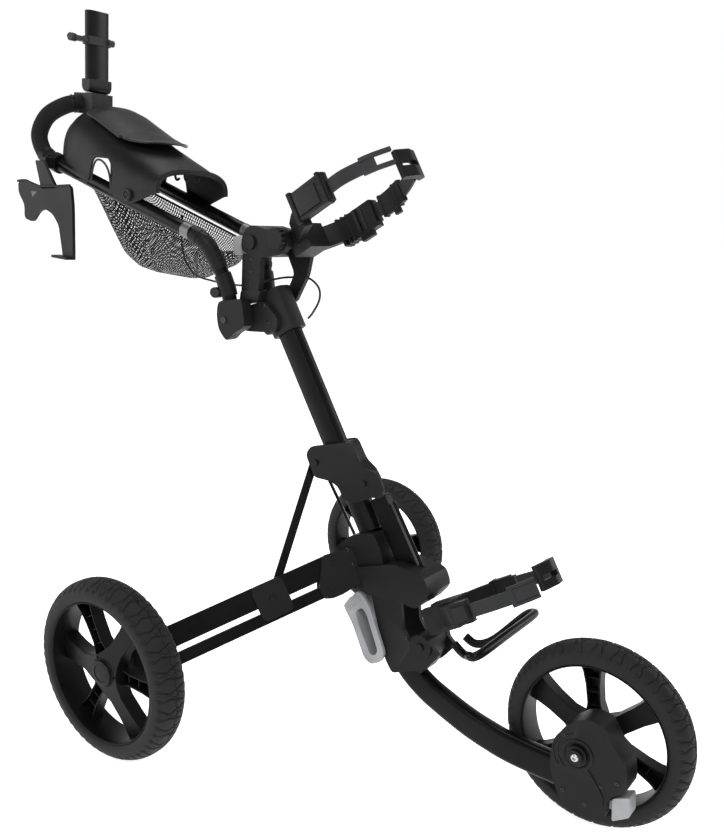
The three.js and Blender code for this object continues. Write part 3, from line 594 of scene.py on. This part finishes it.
def cap(name, cx, cy, side, body):
    axis = (0, side, 0)
    centre = (cx, cy, WHEEL_R)
    disc = [(0.01, 19), (20.4, 19), (21.4, 20.2), (20.6, 21.8), (14.5, 22.6), (13.8, 21.6), (0.01, 22)]
    piece("hub_badge_" + name, *lathe(disc, 56, centre, axis, False), body, RIM, angle=35,
          replaces=["hub_cap_" + name], slot="black_nylon")
    for k in range(3):
        a = math.radians(30 + 120 * k)
        place = (cx + 17.6 * math.cos(a), cy + side * 21.8, WHEEL_R + 17.6 * math.sin(a))
        screw_head(f"hub_screw_{name}_{k}", place, axis, 1.9, body)


WHEELS = (
    ("right", 0, -HALF_TRACK, -1, -1, 62, "wheel_right"),
    ("left", 0, HALF_TRACK, 1, 1, 20, "wheel_left"),
    ("front", WHEELBASE, 0, -1, 1, 43, "wheel_front"),
)
for name, cx, cy, face, capped, phase, body in WHEELS:
    tyre(name, cx, cy, body)
    rim(name, cx, cy, face, phase, body)
    cap(name, cx, cy, capped, body)

# ---- frame blocks that keep the CAD shape ----
for node in (
    "mast_collar", "frame_bracket", "leg_saddle", "leg_knuckle", "wheel_housing", "mast_sleeve",
    "hinge_post",
    "handle_socket_right", "handle_socket_left", "upper_cradle", "lower_cradle", "rail_clamp_right",
    "rail_clamp_left", "wheel_carrier_right", "wheel_carrier_left", "umbrella_clamp", "drink_clamp",
    "upper_buckle", "lower_buckle", "bracket_knob",
):
    dress(node, NYLON, 1.1)
for node in (
    "mast_tube", "rail_upper_right", "rail_upper_left", "rail_lower_right", "rail_lower_left",
    "leg_brace_right", "leg_brace_left", "front_rail", "rail_rod",
):
    dress(node, PAINT, 0.8)
dress("wheel_release_button", GREY, 2.6)
dress("handle_cam_lever", GREY, 1.4)

# ---- latch: a stirrup with an open slot ----
LATCH = [
    (193, 206), (220, 243), (232, 237), (248, 222), (286, 148), (280, 130), (258, 120), (246, 126),
    (214, 182)
]
LATCH_SLOT = [(219, 204), (232, 216), (242, 208), (272, 149), (267, 138), (257, 137), (228, 184)]
LATCH_WALL = [(193, 206), (207, 228), (255, 131), (266, 121), (258, 120), (246, 126), (214, 182)]
LATCH_HALF = 37


def around(outline, corner, count):
    """Evenly spaced points round an outline with softened corners."""
    soft = rounded(outline, corner)
    soft.append(soft[0])
    lengths = [0.0]
    for a, b in zip(soft, soft[1:]):
        lengths.append(lengths[-1] + math.dist(a, b))
    spots = np.linspace(0, lengths[-1], count, endpoint=False)
    return [(float(np.interp(d, lengths, [p[0] for p in soft])), float(np.interp(d, lengths, [p[1] for p in soft])))
            for d in spots]


def latch_cheek(low, high, count=72):
    outer, inner = around(LATCH, 9, count), around(LATCH_SLOT, 6, count)
    rows = []
    for ring, y0, y1 in ((outer, low, high), (inner, high, low)):
        rows += [[(x, y0, z) for x, z in ring], [(x, y1, z) for x, z in ring]]
    faces = []
    for r in range(4):
        for k in range(count):
            a, b = r * count + k, r * count + (k + 1) % count
            c, d = ((r + 1) % 4) * count + (k + 1) % count, ((r + 1) % 4) * count + k
            faces.append([a, b, c, d])
    return [p for row in rows for p in row], faces


def latch():
    """Two slotted cheeks and the wall that joins them; the front leg folds in between."""
    wall = prism(rounded(LATCH_WALL, 4), -LATCH_HALF + 1, LATCH_HALF - 1, SIDE)
    near, far = latch_cheek(-LATCH_HALF, 6 - LATCH_HALF), latch_cheek(LATCH_HALF - 6, LATCH_HALF)
    piece(
        "latch_stirrup", *solids(near, far, wall), "latch", GREY, replaces=["lower_latch"],
        slot="grey_plastic", bevel=1.6
    )
    for k in range(3):
        dx, dz = 0.81 * (5 + 4 * k), -0.59 * (5 + 4 * k)
        bar = [(197 + dx, -LATCH_HALF - 0.2, 208 + dz), (217 + dx, -LATCH_HALF - 0.2, 236 + dz)]
        piece(f"latch_ridge_{k}", *sweep(bar, round_section(1.1, 8), 8), "latch", GREY)

latch()
dress("handle_hinge_pin", DARK_STEEL, 0.4)
dress("front_axle", STEEL, 0.4)

# ---- front leg ----
FRONT_LEG = [
    (298, 0, 139), (326, -3, 118), (356, -7, 104), (386, -13, 97), (450, -30, 91), (500, -42.5, 91),
    (545, -50, 92),
    (622, -55, 96),
]
leg = sweep(FRONT_LEG, rect_section(24, 46, 9, 6), 60, first=(0, 1, 0))
piece("front_leg_tube", *leg, "front_leg", PAINT, replaces=["front_leg"], slot="painted_tube")

# ---- handle ----
HANDLE_Y = 74
ELBOW = (-134, 785)
SLOPE = 0.26
TUBE_R = 12.5
GRIP_R = 15


def handle_z(x):
    return ELBOW[1] + SLOPE * (ELBOW[0] - x)


def tube_path(side):
    return [
        (-88, side * 48, 676), (-95, side * 50, 706), (-112, side * 58, 746), (-128, side * 68, 775),
        (-150, side * 73, handle_z(-150)), (-190, side * HANDLE_Y, handle_z(-190)),
        (-350, side * 77, handle_z(-350)), (-519, side * 82, handle_z(-519)),
    ]


for name, side in (("right", -1), ("left", 1)):
    tube = sweep(tube_path(side), round_section(TUBE_R), 110)
    piece(
        "handle_bar_" + name, *tube, "handle", PAINT, replaces=["handle_tube_" + name],
        slot="painted_tube"
    )
    path = catmull(tube_path(side), 110)
    near = [p for p in path if -178 < p.x < -158]
    band = sweep(near, round_section(TUBE_R + 0.7), 10)
    piece("bar_band_" + name, *band, "handle", BAND)

GRIP_HALF = [
    (-523.5, 82, handle_z(-523.5)), (-546, 84, 900), (-562, 82, 930), (-556, 68, 964), (-536, 44, 986),
    (-520, 20, 994),
]
GRIP = [(x, -y, z) for x, y, z in GRIP_HALF] + [(-514, 0, 996)] + GRIP_HALF[::-1]
piece(
    "grip_foam_loop", *sweep(GRIP, round_section(GRIP_R, 32), 120), "handle", FOAM,
    replaces=["handle_grip"], slot="strap_rubber"
)
grip_path = catmull(GRIP, 120)
for name, points in (("right", grip_path[3:8]), ("left", grip_path[-8:-3])):
    piece(
        "grip_ring_" + name, *sweep(points, round_section(GRIP_R + 1.2, 32), 6), "handle", NYLON,
        bevel=0.5
    )

# ---- console ----
CONSOLE = [
    (-236, 84, 852, 889), (-264, 88, 840, 904), (-296, 91, 826, 918), (-345, 92, 834, 938),
    (-400, 92, 850, 968), (-445, 91, 858, 985), (-478, 88, 872, 984), (-494, 80, 884, 968),
]


def station(x):
    """Half width, lower edge and crown of the console at x, through the stations."""
    xs = [s[0] for s in CONSOLE][::-1]
    return [float(np.interp(x, xs, [s[k] for s in CONSOLE][::-1])) for k in (1, 2, 3)]


def smooth_station(x, reach=9):
    picks = [station(min(-236, max(-494, x + d))) for d in (-reach, -reach / 2, 0, reach / 2, reach)]
    return [sum(p[k] for p in picks) / 5 for k in range(3)]


def arch_point(x, a, grow=0.0):
    w, low, top = smooth_station(x)
    c, s = math.cos(a), math.sin(a)
    y = (w + grow) * math.copysign(abs(c) ** 0.7, c)
    return Vector((x, y, low + (top + grow - low) * abs(s) ** 0.7))


def notch(x):
    """Height of the lower edge: it lifts over the loop behind the lid's front."""
    low = smooth_station(x)[1]
    lift = 1 / (1 + math.exp((x + 349) / 2.6)) / (1 + math.exp(-(x + 404) / 2.6))
    return low + (899 - low) * lift


def shell_grid(xs, across, thick):
    outer, inner = [], []
    for x in xs:
        w, low, top = smooth_station(x)
        share = max(0.0, (notch(x) - low) / (top - low))
        a0 = math.asin(min(0.98, share ** (1 / 0.7))) if share > 0 else 0.0
        for k in range(across + 1):
            a = a0 + (math.pi - 2 * a0) * k / across
            p = arch_point(x, a)
            q = arch_point(x, a, -thick)
            q.z = max(q.z, notch(x)) if k in (0, across) else q.z
            outer.append(p)
            inner.append(q)
    n = across + 1
    m = len(xs)
    total = n * m
    faces = []
    for i in range(m - 1):
        for k in range(across):
            a = i * n + k
            faces.append([a, a + 1, a + n + 1, a + n])
            faces.append([total + a, total + a + n, total + a + n + 1, total + a + 1])
    for i in range(m - 1):
        for k in (0, across):
            a = i * n + k
            quad = [a, a + n, total + a + n, total + a]
            faces.append(quad if k == 0 else quad[::-1])
    for k in range(across):
        faces.append([k, total + k, total + k + 1, k + 1])
        a = (m - 1) * n + k
        faces.append([a, a + 1, total + a + 1, total + a])
    return outer + inner, faces


xs = list(np.linspace(-236, -494, 90))
piece(
    "console_cover", *shell_grid(xs, 48, 3.2), "handle", NYLON, angle=42, replaces=["console_shell"],
    slot="black_nylon"
)
arch = [arch_point(-237, math.pi * k / 24) for k in range(25)]
piece("console_front_bead", *sweep(arch, round_section(3.1, 14), 60), "handle", NYLON)
rear = [arch_point(-493, 0.12 + (math.pi - 0.24) * k / 24, -0.5) for k in range(25)]
piece("console_rear_wall", [(*p,) for p in rear] + [(-497, p.y * 0.97, p.z - 2) for p in rear],
      [[k, k + 1, 26 + k, 25 + k] for k in range(24)] + [[25 + k for k in range(25)]], "handle", NYLON)


def lid_half_width(x):
    """Plan of the lid: straight sides with a round front."""
    return 66.0 if x < -352 else math.sqrt(max(0.0, 66.5**2 - (x + 352) ** 2))


def lid_height(x, y):
    crown = float(np.interp(x, [-440, -420, -400, -345, -310, -286], [991, 985, 976, 952, 941, 936]))
    return crown - 16 * abs(y / 70) ** 2.6


def lid():
    xs = [-440, -436] + list(np.linspace(-430, -300, 40)) + list(np.linspace(-297, -285.7, 10))
    across = 36
    vertices, faces = [], []
    for depth in (0.0, 4.2):
        for x in xs:
            w = lid_half_width(x) + (4 if x < -352 else 0)
            for k in range(across + 1):
                y = w * math.sin(math.pi / 2 * (2 * k / across - 1))
                vertices.append(Vector((x, y, lid_height(x, y) - depth)))
    n, m = across + 1, len(xs)
    total = n * m
    for i in range(m - 1):
        for k in range(across):
            a = i * n + k
            faces += [
                [a, a + 1, a + n + 1, a + n], [total + a, total + a + n, total + a + n + 1, total + a + 1]
            ]
        for k in (0, across):
            a = i * n + k
            faces.append([a, a + n, total + a + n, total + a])
    for k in range(across):
        faces.append([k, k + 1, total + k + 1, total + k])
        a = (m - 1) * n + k
        faces.append([a, a + 1, total + a + 1, total + a])
    piece(
        "console_lid_plate", vertices, faces, "lid", NYLON, replaces=["console_lid"], slot="black_nylon",
        bevel=0.8
    )


lid()
loop = [
    (-404, -88, 852), (-398, -91, 876), (-386, -92, 894), (-368, -92, 893), (-352, -92, 876),
    (-347, -90, 840)
]
piece("bungee_loop", *sweep(loop, round_section(1.9, 10), 50), "handle", STRAP)

# ---- net pocket ----

def net_pocket():
    """A cloth tub hung between the side tubes; its rim is a band of webbing."""
    xs = np.linspace(-440, -142, 50)
    across = 40
    vertices, uvs, faces = [], [], []

    def depth(x):
        return float(
            np.interp(
                x, [-440, -425, -400, -370, -340, -300, -215, -160, -142],
                [838, 808, 766, 724, 709, 705, 706, 732, 762]
            )
        )

    for x in xs:
        top = handle_z(x) - 14
        low = depth(x)
        for k in range(across + 1):
            a = math.pi * k / across
            c, s = math.cos(a), math.sin(a)
            w = 60 - 10 * (1 - abs(c) ** 0.3)
            y = w * math.copysign(abs(c) ** 0.55, c)
            z = top - (top - low) * s**0.75
            vertices.append((x, y, z))
            uvs.append((x, (k / across - 0.5) * 300))
    n = across + 1
    for i in range(len(xs) - 1):
        for k in range(across):
            a = i * n + k
            faces.append([a, a + 1, a + n + 1, a + n])
    for f in faces:
        a, b, c, d = (Vector(vertices[i]) for i in f)
    bag = piece(
        "net_pocket", vertices, faces, "handle", NET, replaces=["mesh_bag"], slot="net_cloth", uv=uvs
    )
    for name, k in (("right", across), ("left", 0)):
        edge = [vertices[i * n + k] for i in range(len(xs))]
        hem = sweep(edge[::5], rect_section(9, 2.2, 1, 3), 50)
        piece("net_hem_" + name, *hem, "handle", STRAP)
    front = [vertices[(len(xs) - 1) * n + k] for k in range(0, across + 1, 4)]
    piece("net_hem_front", *sweep(front, rect_section(8, 2, 0.9, 3), 50), "handle", STRAP)
    back = [vertices[k] for k in range(0, across + 1, 4)]
    piece("net_hem_back", *sweep(back, rect_section(8, 2, 0.9, 3), 50), "handle", STRAP)


net_pocket()

# ---- brake cable ----
CABLE = [
    (-330, 64.5, 808), (-333, 64.5, 780), (-322, 64.5, 730), (-290, 62, 702), (-240, 60, 696),
    (-185, 54, 697),
    (-130, 30, 704), (-85, 28, 716), (-48, 37, 728), (-15, 40, 733), (12, 39, 734), (38, 32, 722),
    (50, 20, 704),
    (44, 12, 682), (38, 8, 672),
]
cable = piece(
    "brake_cable_sleeve", *sweep(CABLE, round_section(1.9, 12), 160), None, STRAP,
    replaces=["brake_cable"], slot="black_nylon"
)
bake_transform(cable)

# ---- umbrella tube ----
dress("umbrella_tube", PAINT, 0.5, 40)
dress("umbrella_strap", STRAP, 1.0)


def flat_band(points, thick, z0, z1, origin, steps=40):
    """A strap that follows points in the plane square to the mast."""
    path = catmull([(x, y, 0) for x, y in points], steps)
    outer, inner = [], []
    for i, p in enumerate(path):
        t = (path[min(i + 1, steps)] - path[max(i - 1, 0)]).normalized()
        n = Vector((-t.y, t.x, 0)) * thick / 2
        outer.append(p + n)
        inner.append(p - n)
    out = []
    for p in outer + inner[::-1]:
        out.append((p.x, p.y))
    return prism(out, z0, z1, (Vector(origin), BAG_OUT, AXIS_Y, MAST_UP))


UPPER_RING = (30, 0, 797)
LOWER_RING = (380, 0, 247)
near = flat_band([(130, -68), (160, -66), (206, -43)], 5, 14, 36, UPPER_RING)
piece(
    "upper_strap_smooth", *near, "upper_strap", STRAP, replaces=["upper_strap_near"], slot="strap_rubber",
    bevel=1.4
)
far = flat_band([(113, 66), (150, 62), (188, 44), (222, 18)], 5, -12, 12, UPPER_RING)
piece(
    "upper_strap_ridged", *far, "upper_bracket", STRAP, replaces=["upper_strap_far"], slot="strap_rubber",
    bevel=1.2
)
near = flat_band([(78, -50), (110, -48), (150, -38), (182, -18)], 5, -10, 12, LOWER_RING)
piece(
    "lower_strap_smooth", *near, "lower_strap", STRAP, replaces=["lower_strap_near"], slot="strap_rubber",
    bevel=1.4
)
far = flat_band([(106, 60), (140, 54), (172, 40), (189, 26)], 5, -6, 16, LOWER_RING)
piece(
    "lower_strap_ridged", *far, "frame", STRAP, replaces=["lower_strap_far"], slot="strap_rubber",
    bevel=1.2
)

# ---- bag rest ----
REST = [
    (404, -18, 206), (424, -22, 198), (446, -40, 208), (470, -92, 240), (482, -102, 247), (488, -80, 250),
    (489, 0, 251),
    (488, 80, 250), (482, 102, 247), (470, 92, 240), (446, 40, 208), (424, 22, 198), (404, 18, 206),
]
piece(
    "bag_rest_wire", *sweep(REST, round_section(7, 20), 120), "bag_rest", PAINT,
    replaces=["bag_rest_loop"], slot="painted_tube"
)

# ---- small fittings on the faces of the CAD nodes ----
def on_face(node, place, way=(0, 1, 0)):
    """Where a line through place, heading along way, first meets a CAD node: a point in millimetres."""
    mesh = NODES[node].data
    tree = BVHTree.FromPolygons([v.co for v in mesh.vertices], [f.vertices for f in mesh.polygons])
    hit = tree.ray_cast(at(place) - Vector(way) * 0.3, Vector(way))[0]
    if hit is None:
        raise ValueError(f"nothing of {node} at {place}")
    return Vector((hit.x * 1000 + ORIGIN_X, hit.y * 1000, hit.z * 1000))


FACE_SCREWS = (
    ("mast_sleeve", "frame", -29, 686, 3.4), ("mast_sleeve", "frame", -16, 660, 3.4),
    ("hinge_post", "frame", -53, 760, 2.8), ("hinge_post", "frame", -53, 740, 2.8),
    ("hinge_post", "frame", -54, 720, 2.8),
    ("frame_bracket", "frame", 190, 308, 3.6), ("frame_bracket", "frame", 203, 286, 3.6),
    ("wheel_housing", "front_leg", 640, 80, 3.4), ("wheel_housing", "front_leg", 676, 74, 3.4),
    ("wheel_housing", "front_leg", 716, 128, 3.0), ("wheel_housing", "front_leg", 694, 112, 3.0),
    ("wheel_housing", "front_leg", 628, 168, 3.0), ("leg_saddle", "frame", 320, 190, 3.6),
)
for k, (node, body, x, z, r) in enumerate(FACE_SCREWS):
    screw_head(f"face_screw_{k}", on_face(node, (x, 0, z)), (0, -1, 0), r, body)

bolt = on_face("wheel_housing", (WHEELBASE, 0, WHEEL_R))
screw_head("axle_bolt", bolt, (0, -1, 0), 6.0, "front_leg", STEEL)
ring = [(18.5, -0.5), (18.5, 1.6), (20, 2.6), (22.5, 2.6), (24, 1.4), (24, -0.5)]
deck = on_face("wheel_housing", (WHEELBASE + 21, 0, WHEEL_R))
piece("housing_ring", *lathe(ring, 64, (WHEELBASE, deck.y, WHEEL_R), (0, -1, 0)), "front_leg", NYLON)
for k, (r, a0, a1) in enumerate(((31, 110, 250), (38, 120, 235))):
    arc = [(WHEELBASE + r * math.cos(math.radians(a)), deck.y, WHEEL_R + r * math.sin(math.radians(a)))
           for a in range(a0, a1, 12)]
    piece(f"housing_arc_{k}", *sweep(arc, round_section(1.1, 8), 40), "front_leg", NYLON)
strap_line = [(668, deck.y, 132), (684, deck.y, 116), (698, deck.y, 98), (700, deck.y, 84)]
piece("housing_rib", *sweep(strap_line, round_section(2.0, 10), 30), "front_leg", NYLON)


# ---- cup holder arm ----
CUP_SIDE = (-121, -114.6)  # the plate's faces, across the trolley
CUP_ARM = [
    (-575, 843), (-549, 846), (-510, 839), (-421, 847), (-416, 810), (-415, 715), (-444, 715),
    (-456, 774),
    (-473, 792), (-494, 799), (-512, 794), (-533, 772), (-558, 777), (-557, 801), (-575, 823),
]
plan = rounded(CUP_ARM, 8)
arm = solids(
    prism(plan, *CUP_SIDE, SIDE),
    prism(rounded([(-522, 884), (-498, 884), (-462, 838), (-506, 834)], 4), *CUP_SIDE, SIDE),
    prism(rounded([(-460, 716), (-415, 716), (-415, 721), (-460, 721)], 2), -135, CUP_SIDE[1], SIDE),
)
piece("cup_holder_arm", *arm, "drink", NYLON, replaces=["drink_bracket"], slot="black_nylon", bevel=1.3)
edge = [(x, CUP_SIDE[0] - 0.6, z) for x, z in CUP_ARM[:4]]
piece("cup_holder_rib", *sweep(edge, round_section(2.2, 10), 40), "drink", NYLON)
pocket = [(-535, 828), (-516, 829), (-532, 817)]
piece(
    "cup_holder_pocket", *prism(pocket, CUP_SIDE[0] - 0.4, CUP_SIDE[0] + 1, SIDE), "drink", DARK_STEEL,
    bevel=0.4
)

# ---- fittings on the handle ----
for name, side in (("right", -1), ("left", 1)):
    path = catmull(tube_path(side), 110)
    elbow = [p for p in path if -156 < p.x < -108]
    piece(
        "elbow_sleeve_" + name, *sweep(elbow, round_section(TUBE_R + 1.8), 24), "handle", NYLON, bevel=0.6
    )
    for k in range(2, len(elbow) - 1, 2):
        rib = sweep(elbow[k - 1 : k + 1], round_section(TUBE_R + 2.6), 2)
        piece(f"elbow_rib_{name}_{k}", *rib, "handle", NYLON, bevel=0.5)
    foot = [p for p in path if 692 < p.z < 732]
    piece(
        "foot_sleeve_" + name, *sweep(foot, round_section(TUBE_R + 2.4), 16), "handle", NYLON, bevel=0.6
    )
lug = [(-108, 708), (-120, 704), (-122, 694), (-114, 688), (-102, 690), (-98, 702)]
piece("cable_lug", *prism(rounded(lug, 4), -66, -54, SIDE), "handle", NYLON, bevel=1.2)

# ---- fittings on the console ----
front_lip = []
for k in range(33):
    y = 66 * math.sin(math.pi / 2 * (k / 16 - 1))
    x = -352 + math.sqrt(max(0.0, 66.5**2 - y * y))
    front_lip.append((x, y, lid_height(x, y) - 1.5))
piece("lid_lip", *sweep(front_lip, round_section(2.3, 12), 90), "lid", DARK_STEEL)
inner_bead = [arch_point(-240, math.pi * k / 24, -4) for k in range(25)]
piece("console_inner_bead", *sweep(inner_bead, round_section(4.2, 14), 60), "handle", NYLON)
for k, y in enumerate((-34, -12, 14)):
    under = smooth_station(-246)[2] - 9
    hook = [(-246, y, under + 4), (-246, y, under - 6), (-242, y, under - 11), (-236, y, under - 8)]
    piece(f"console_hook_{k}", *sweep(hook, round_section(2.2, 10), 16), "handle", NYLON)
boss = [(0.01, -2), (11, -2), (11, 3), (9.4, 5), (6, 5), (5.2, 3.4), (0.01, 3.4)]
piece("console_boss", *lathe(boss, 40, (-303, -91, 842), (0, -1, 0), False), "handle", NYLON)
screw_head("console_boss_screw", (-303, -94.4, 842), (0, -1, 0), 3.4, "handle")
for k, y in enumerate((-32, -28, 28, 32)):
    near = [p for p in grip_path if abs(p.y - y) < 3]
    if len(near) > 1:
        piece(
            f"clamp_rib_{k}", *sweep(near[:2], round_section(GRIP_R + 1.6, 32), 3), "handle", NYLON,
            bevel=0.5
        )
UMBRELLA_PIVOT = (-500, 1026)  # the foot is round about the tilt axis, so it clears the clamp
foot = [(math.cos(math.radians(a)), math.sin(math.radians(a))) for a in range(180, 361, 12)]
foot = [(UMBRELLA_PIVOT[0] + 12.3 * c, UMBRELLA_PIVOT[1] + 12.3 * v) for c, v in foot]
foot += [(UMBRELLA_PIVOT[0] + 12.3, 1037), (UMBRELLA_PIVOT[0] - 12.3, 1037)]
piece("umbrella_socket", *prism(foot, -25.2, 25.2, SIDE), "umbrella", NYLON, bevel=1.6)
slack = [(-508, -30, 1104), (-513, -44, 1109), (-507, -57, 1104), (-497, -50, 1101), (-493, -32, 1103)]
piece("umbrella_strap_loop", *sweep(slack, round_section(3.0, 12), 40), "umbrella", STRAP)

# ---- fittings on the bag brackets ----
def in_ring(place, outline, low, high):
    return prism(outline, low, high, (Vector(place), BAG_OUT, AXIS_Y, MAST_UP))


def plate(cx, cy, wide, high, r=2):
    """A rectangle with rounded corners about (cx, cy)."""
    w, h = wide / 2, high / 2
    return rounded([(cx - w, cy - h), (cx + w, cy - h), (cx + w, cy + h), (cx - w, cy + h)], r)


upper = solids(
    in_ring(UPPER_RING, plate(88, -77, 46, 4), 10, 42),
    in_ring(UPPER_RING, plate(122, -71, 7, 18), 2, 52),
    in_ring(UPPER_RING, plate(58, -69, 8, 20), 1, 53),
    in_ring(UPPER_RING, plate(70, 64, 76, 18), -25, 21),
    in_ring(UPPER_RING, plate(38, 60, 5, 26), -26, 22),
    in_ring(UPPER_RING, plate(47, 62, 4, 24), -26, 22),
    in_ring(UPPER_RING, plate(56, 63, 4, 22), -26, 22),
    in_ring(UPPER_RING, plate(78, 64, 26, 12), -33, -24),
    in_ring(UPPER_RING, plate(150, 60, 12, 9), -27, -16),
)
piece("upper_bracket_plates", *upper, "upper_bracket", NYLON, bevel=1.2)
cover = flat_band([(120, 66), (146, 62.5), (176, 50.5)], 9, -18, 18, UPPER_RING)
piece("upper_bracket_cover", *cover, "upper_bracket", NYLON, bevel=1.3)
for k, x in enumerate((122, 158)):
    rib = flat_band(
        [(x, 65 - (x - 128) * 0.2), (x + 4, 64.4 - (x - 128) * 0.24)], 12, -19, 19, UPPER_RING, 4
    )
    piece(f"upper_cover_rib_{k}", *rib, "upper_bracket", NYLON, bevel=0.8)
loop = solids(
    flat_band([(186, -56), (204, -44), (226, -22)], 6.4, 32, 39, UPPER_RING, 12),
    flat_band([(186, -56), (204, -44), (226, -22)], 6.4, 11, 18, UPPER_RING, 12),
)
piece("upper_strap_loop", *loop, "upper_strap", STRAP, bevel=1.2)
lower = solids(
    in_ring(LOWER_RING, plate(60, -58, 26, 4), -10, 14),
    in_ring(LOWER_RING, plate(78, 60, 34, 16), -16, 20),
    in_ring(LOWER_RING, plate(62, 58, 5, 22), -17, 21),
    in_ring(LOWER_RING, plate(72, 58, 14, 12), -26, -15),
)
piece("lower_bracket_plates", *lower, "frame", NYLON, bevel=1.1)
loop = solids(
    flat_band([(146, -40), (164, -31), (182, -18)], 7, 12, 17, LOWER_RING, 12),
    flat_band([(146, -40), (164, -31), (182, -18)], 7, -15, -10, LOWER_RING, 12),
    flat_band([(144, -41), (151, -38)], 7, -15, 17, LOWER_RING, 4),
)
piece("lower_strap_loop", *loop, "lower_strap", STRAP, bevel=1.1)

# ---- floor ----
mesh = bpy.data.meshes.new("floor")
mesh.from_pydata([(-30, -30, 0), (30, -30, 0), (30, 30, 0), (-30, 30, 0)], [], [[0, 1, 2, 3]])
floor = bpy.data.objects.new("floor", mesh)
bpy.context.scene.collection.objects.link(floor)
pale = surface("pale_floor", (0.86, 0.86, 0.86), 0.7, patch=0.01, grain=(50, 0.0), shine=0.1)
pale.node_tree.nodes["Principled BSDF"].inputs["Emission Color"].default_value = (1, 1, 1, 1)
pale.node_tree.nodes["Principled BSDF"].inputs["Emission Strength"].default_value = 0.85
floor.data.materials.append(pale)
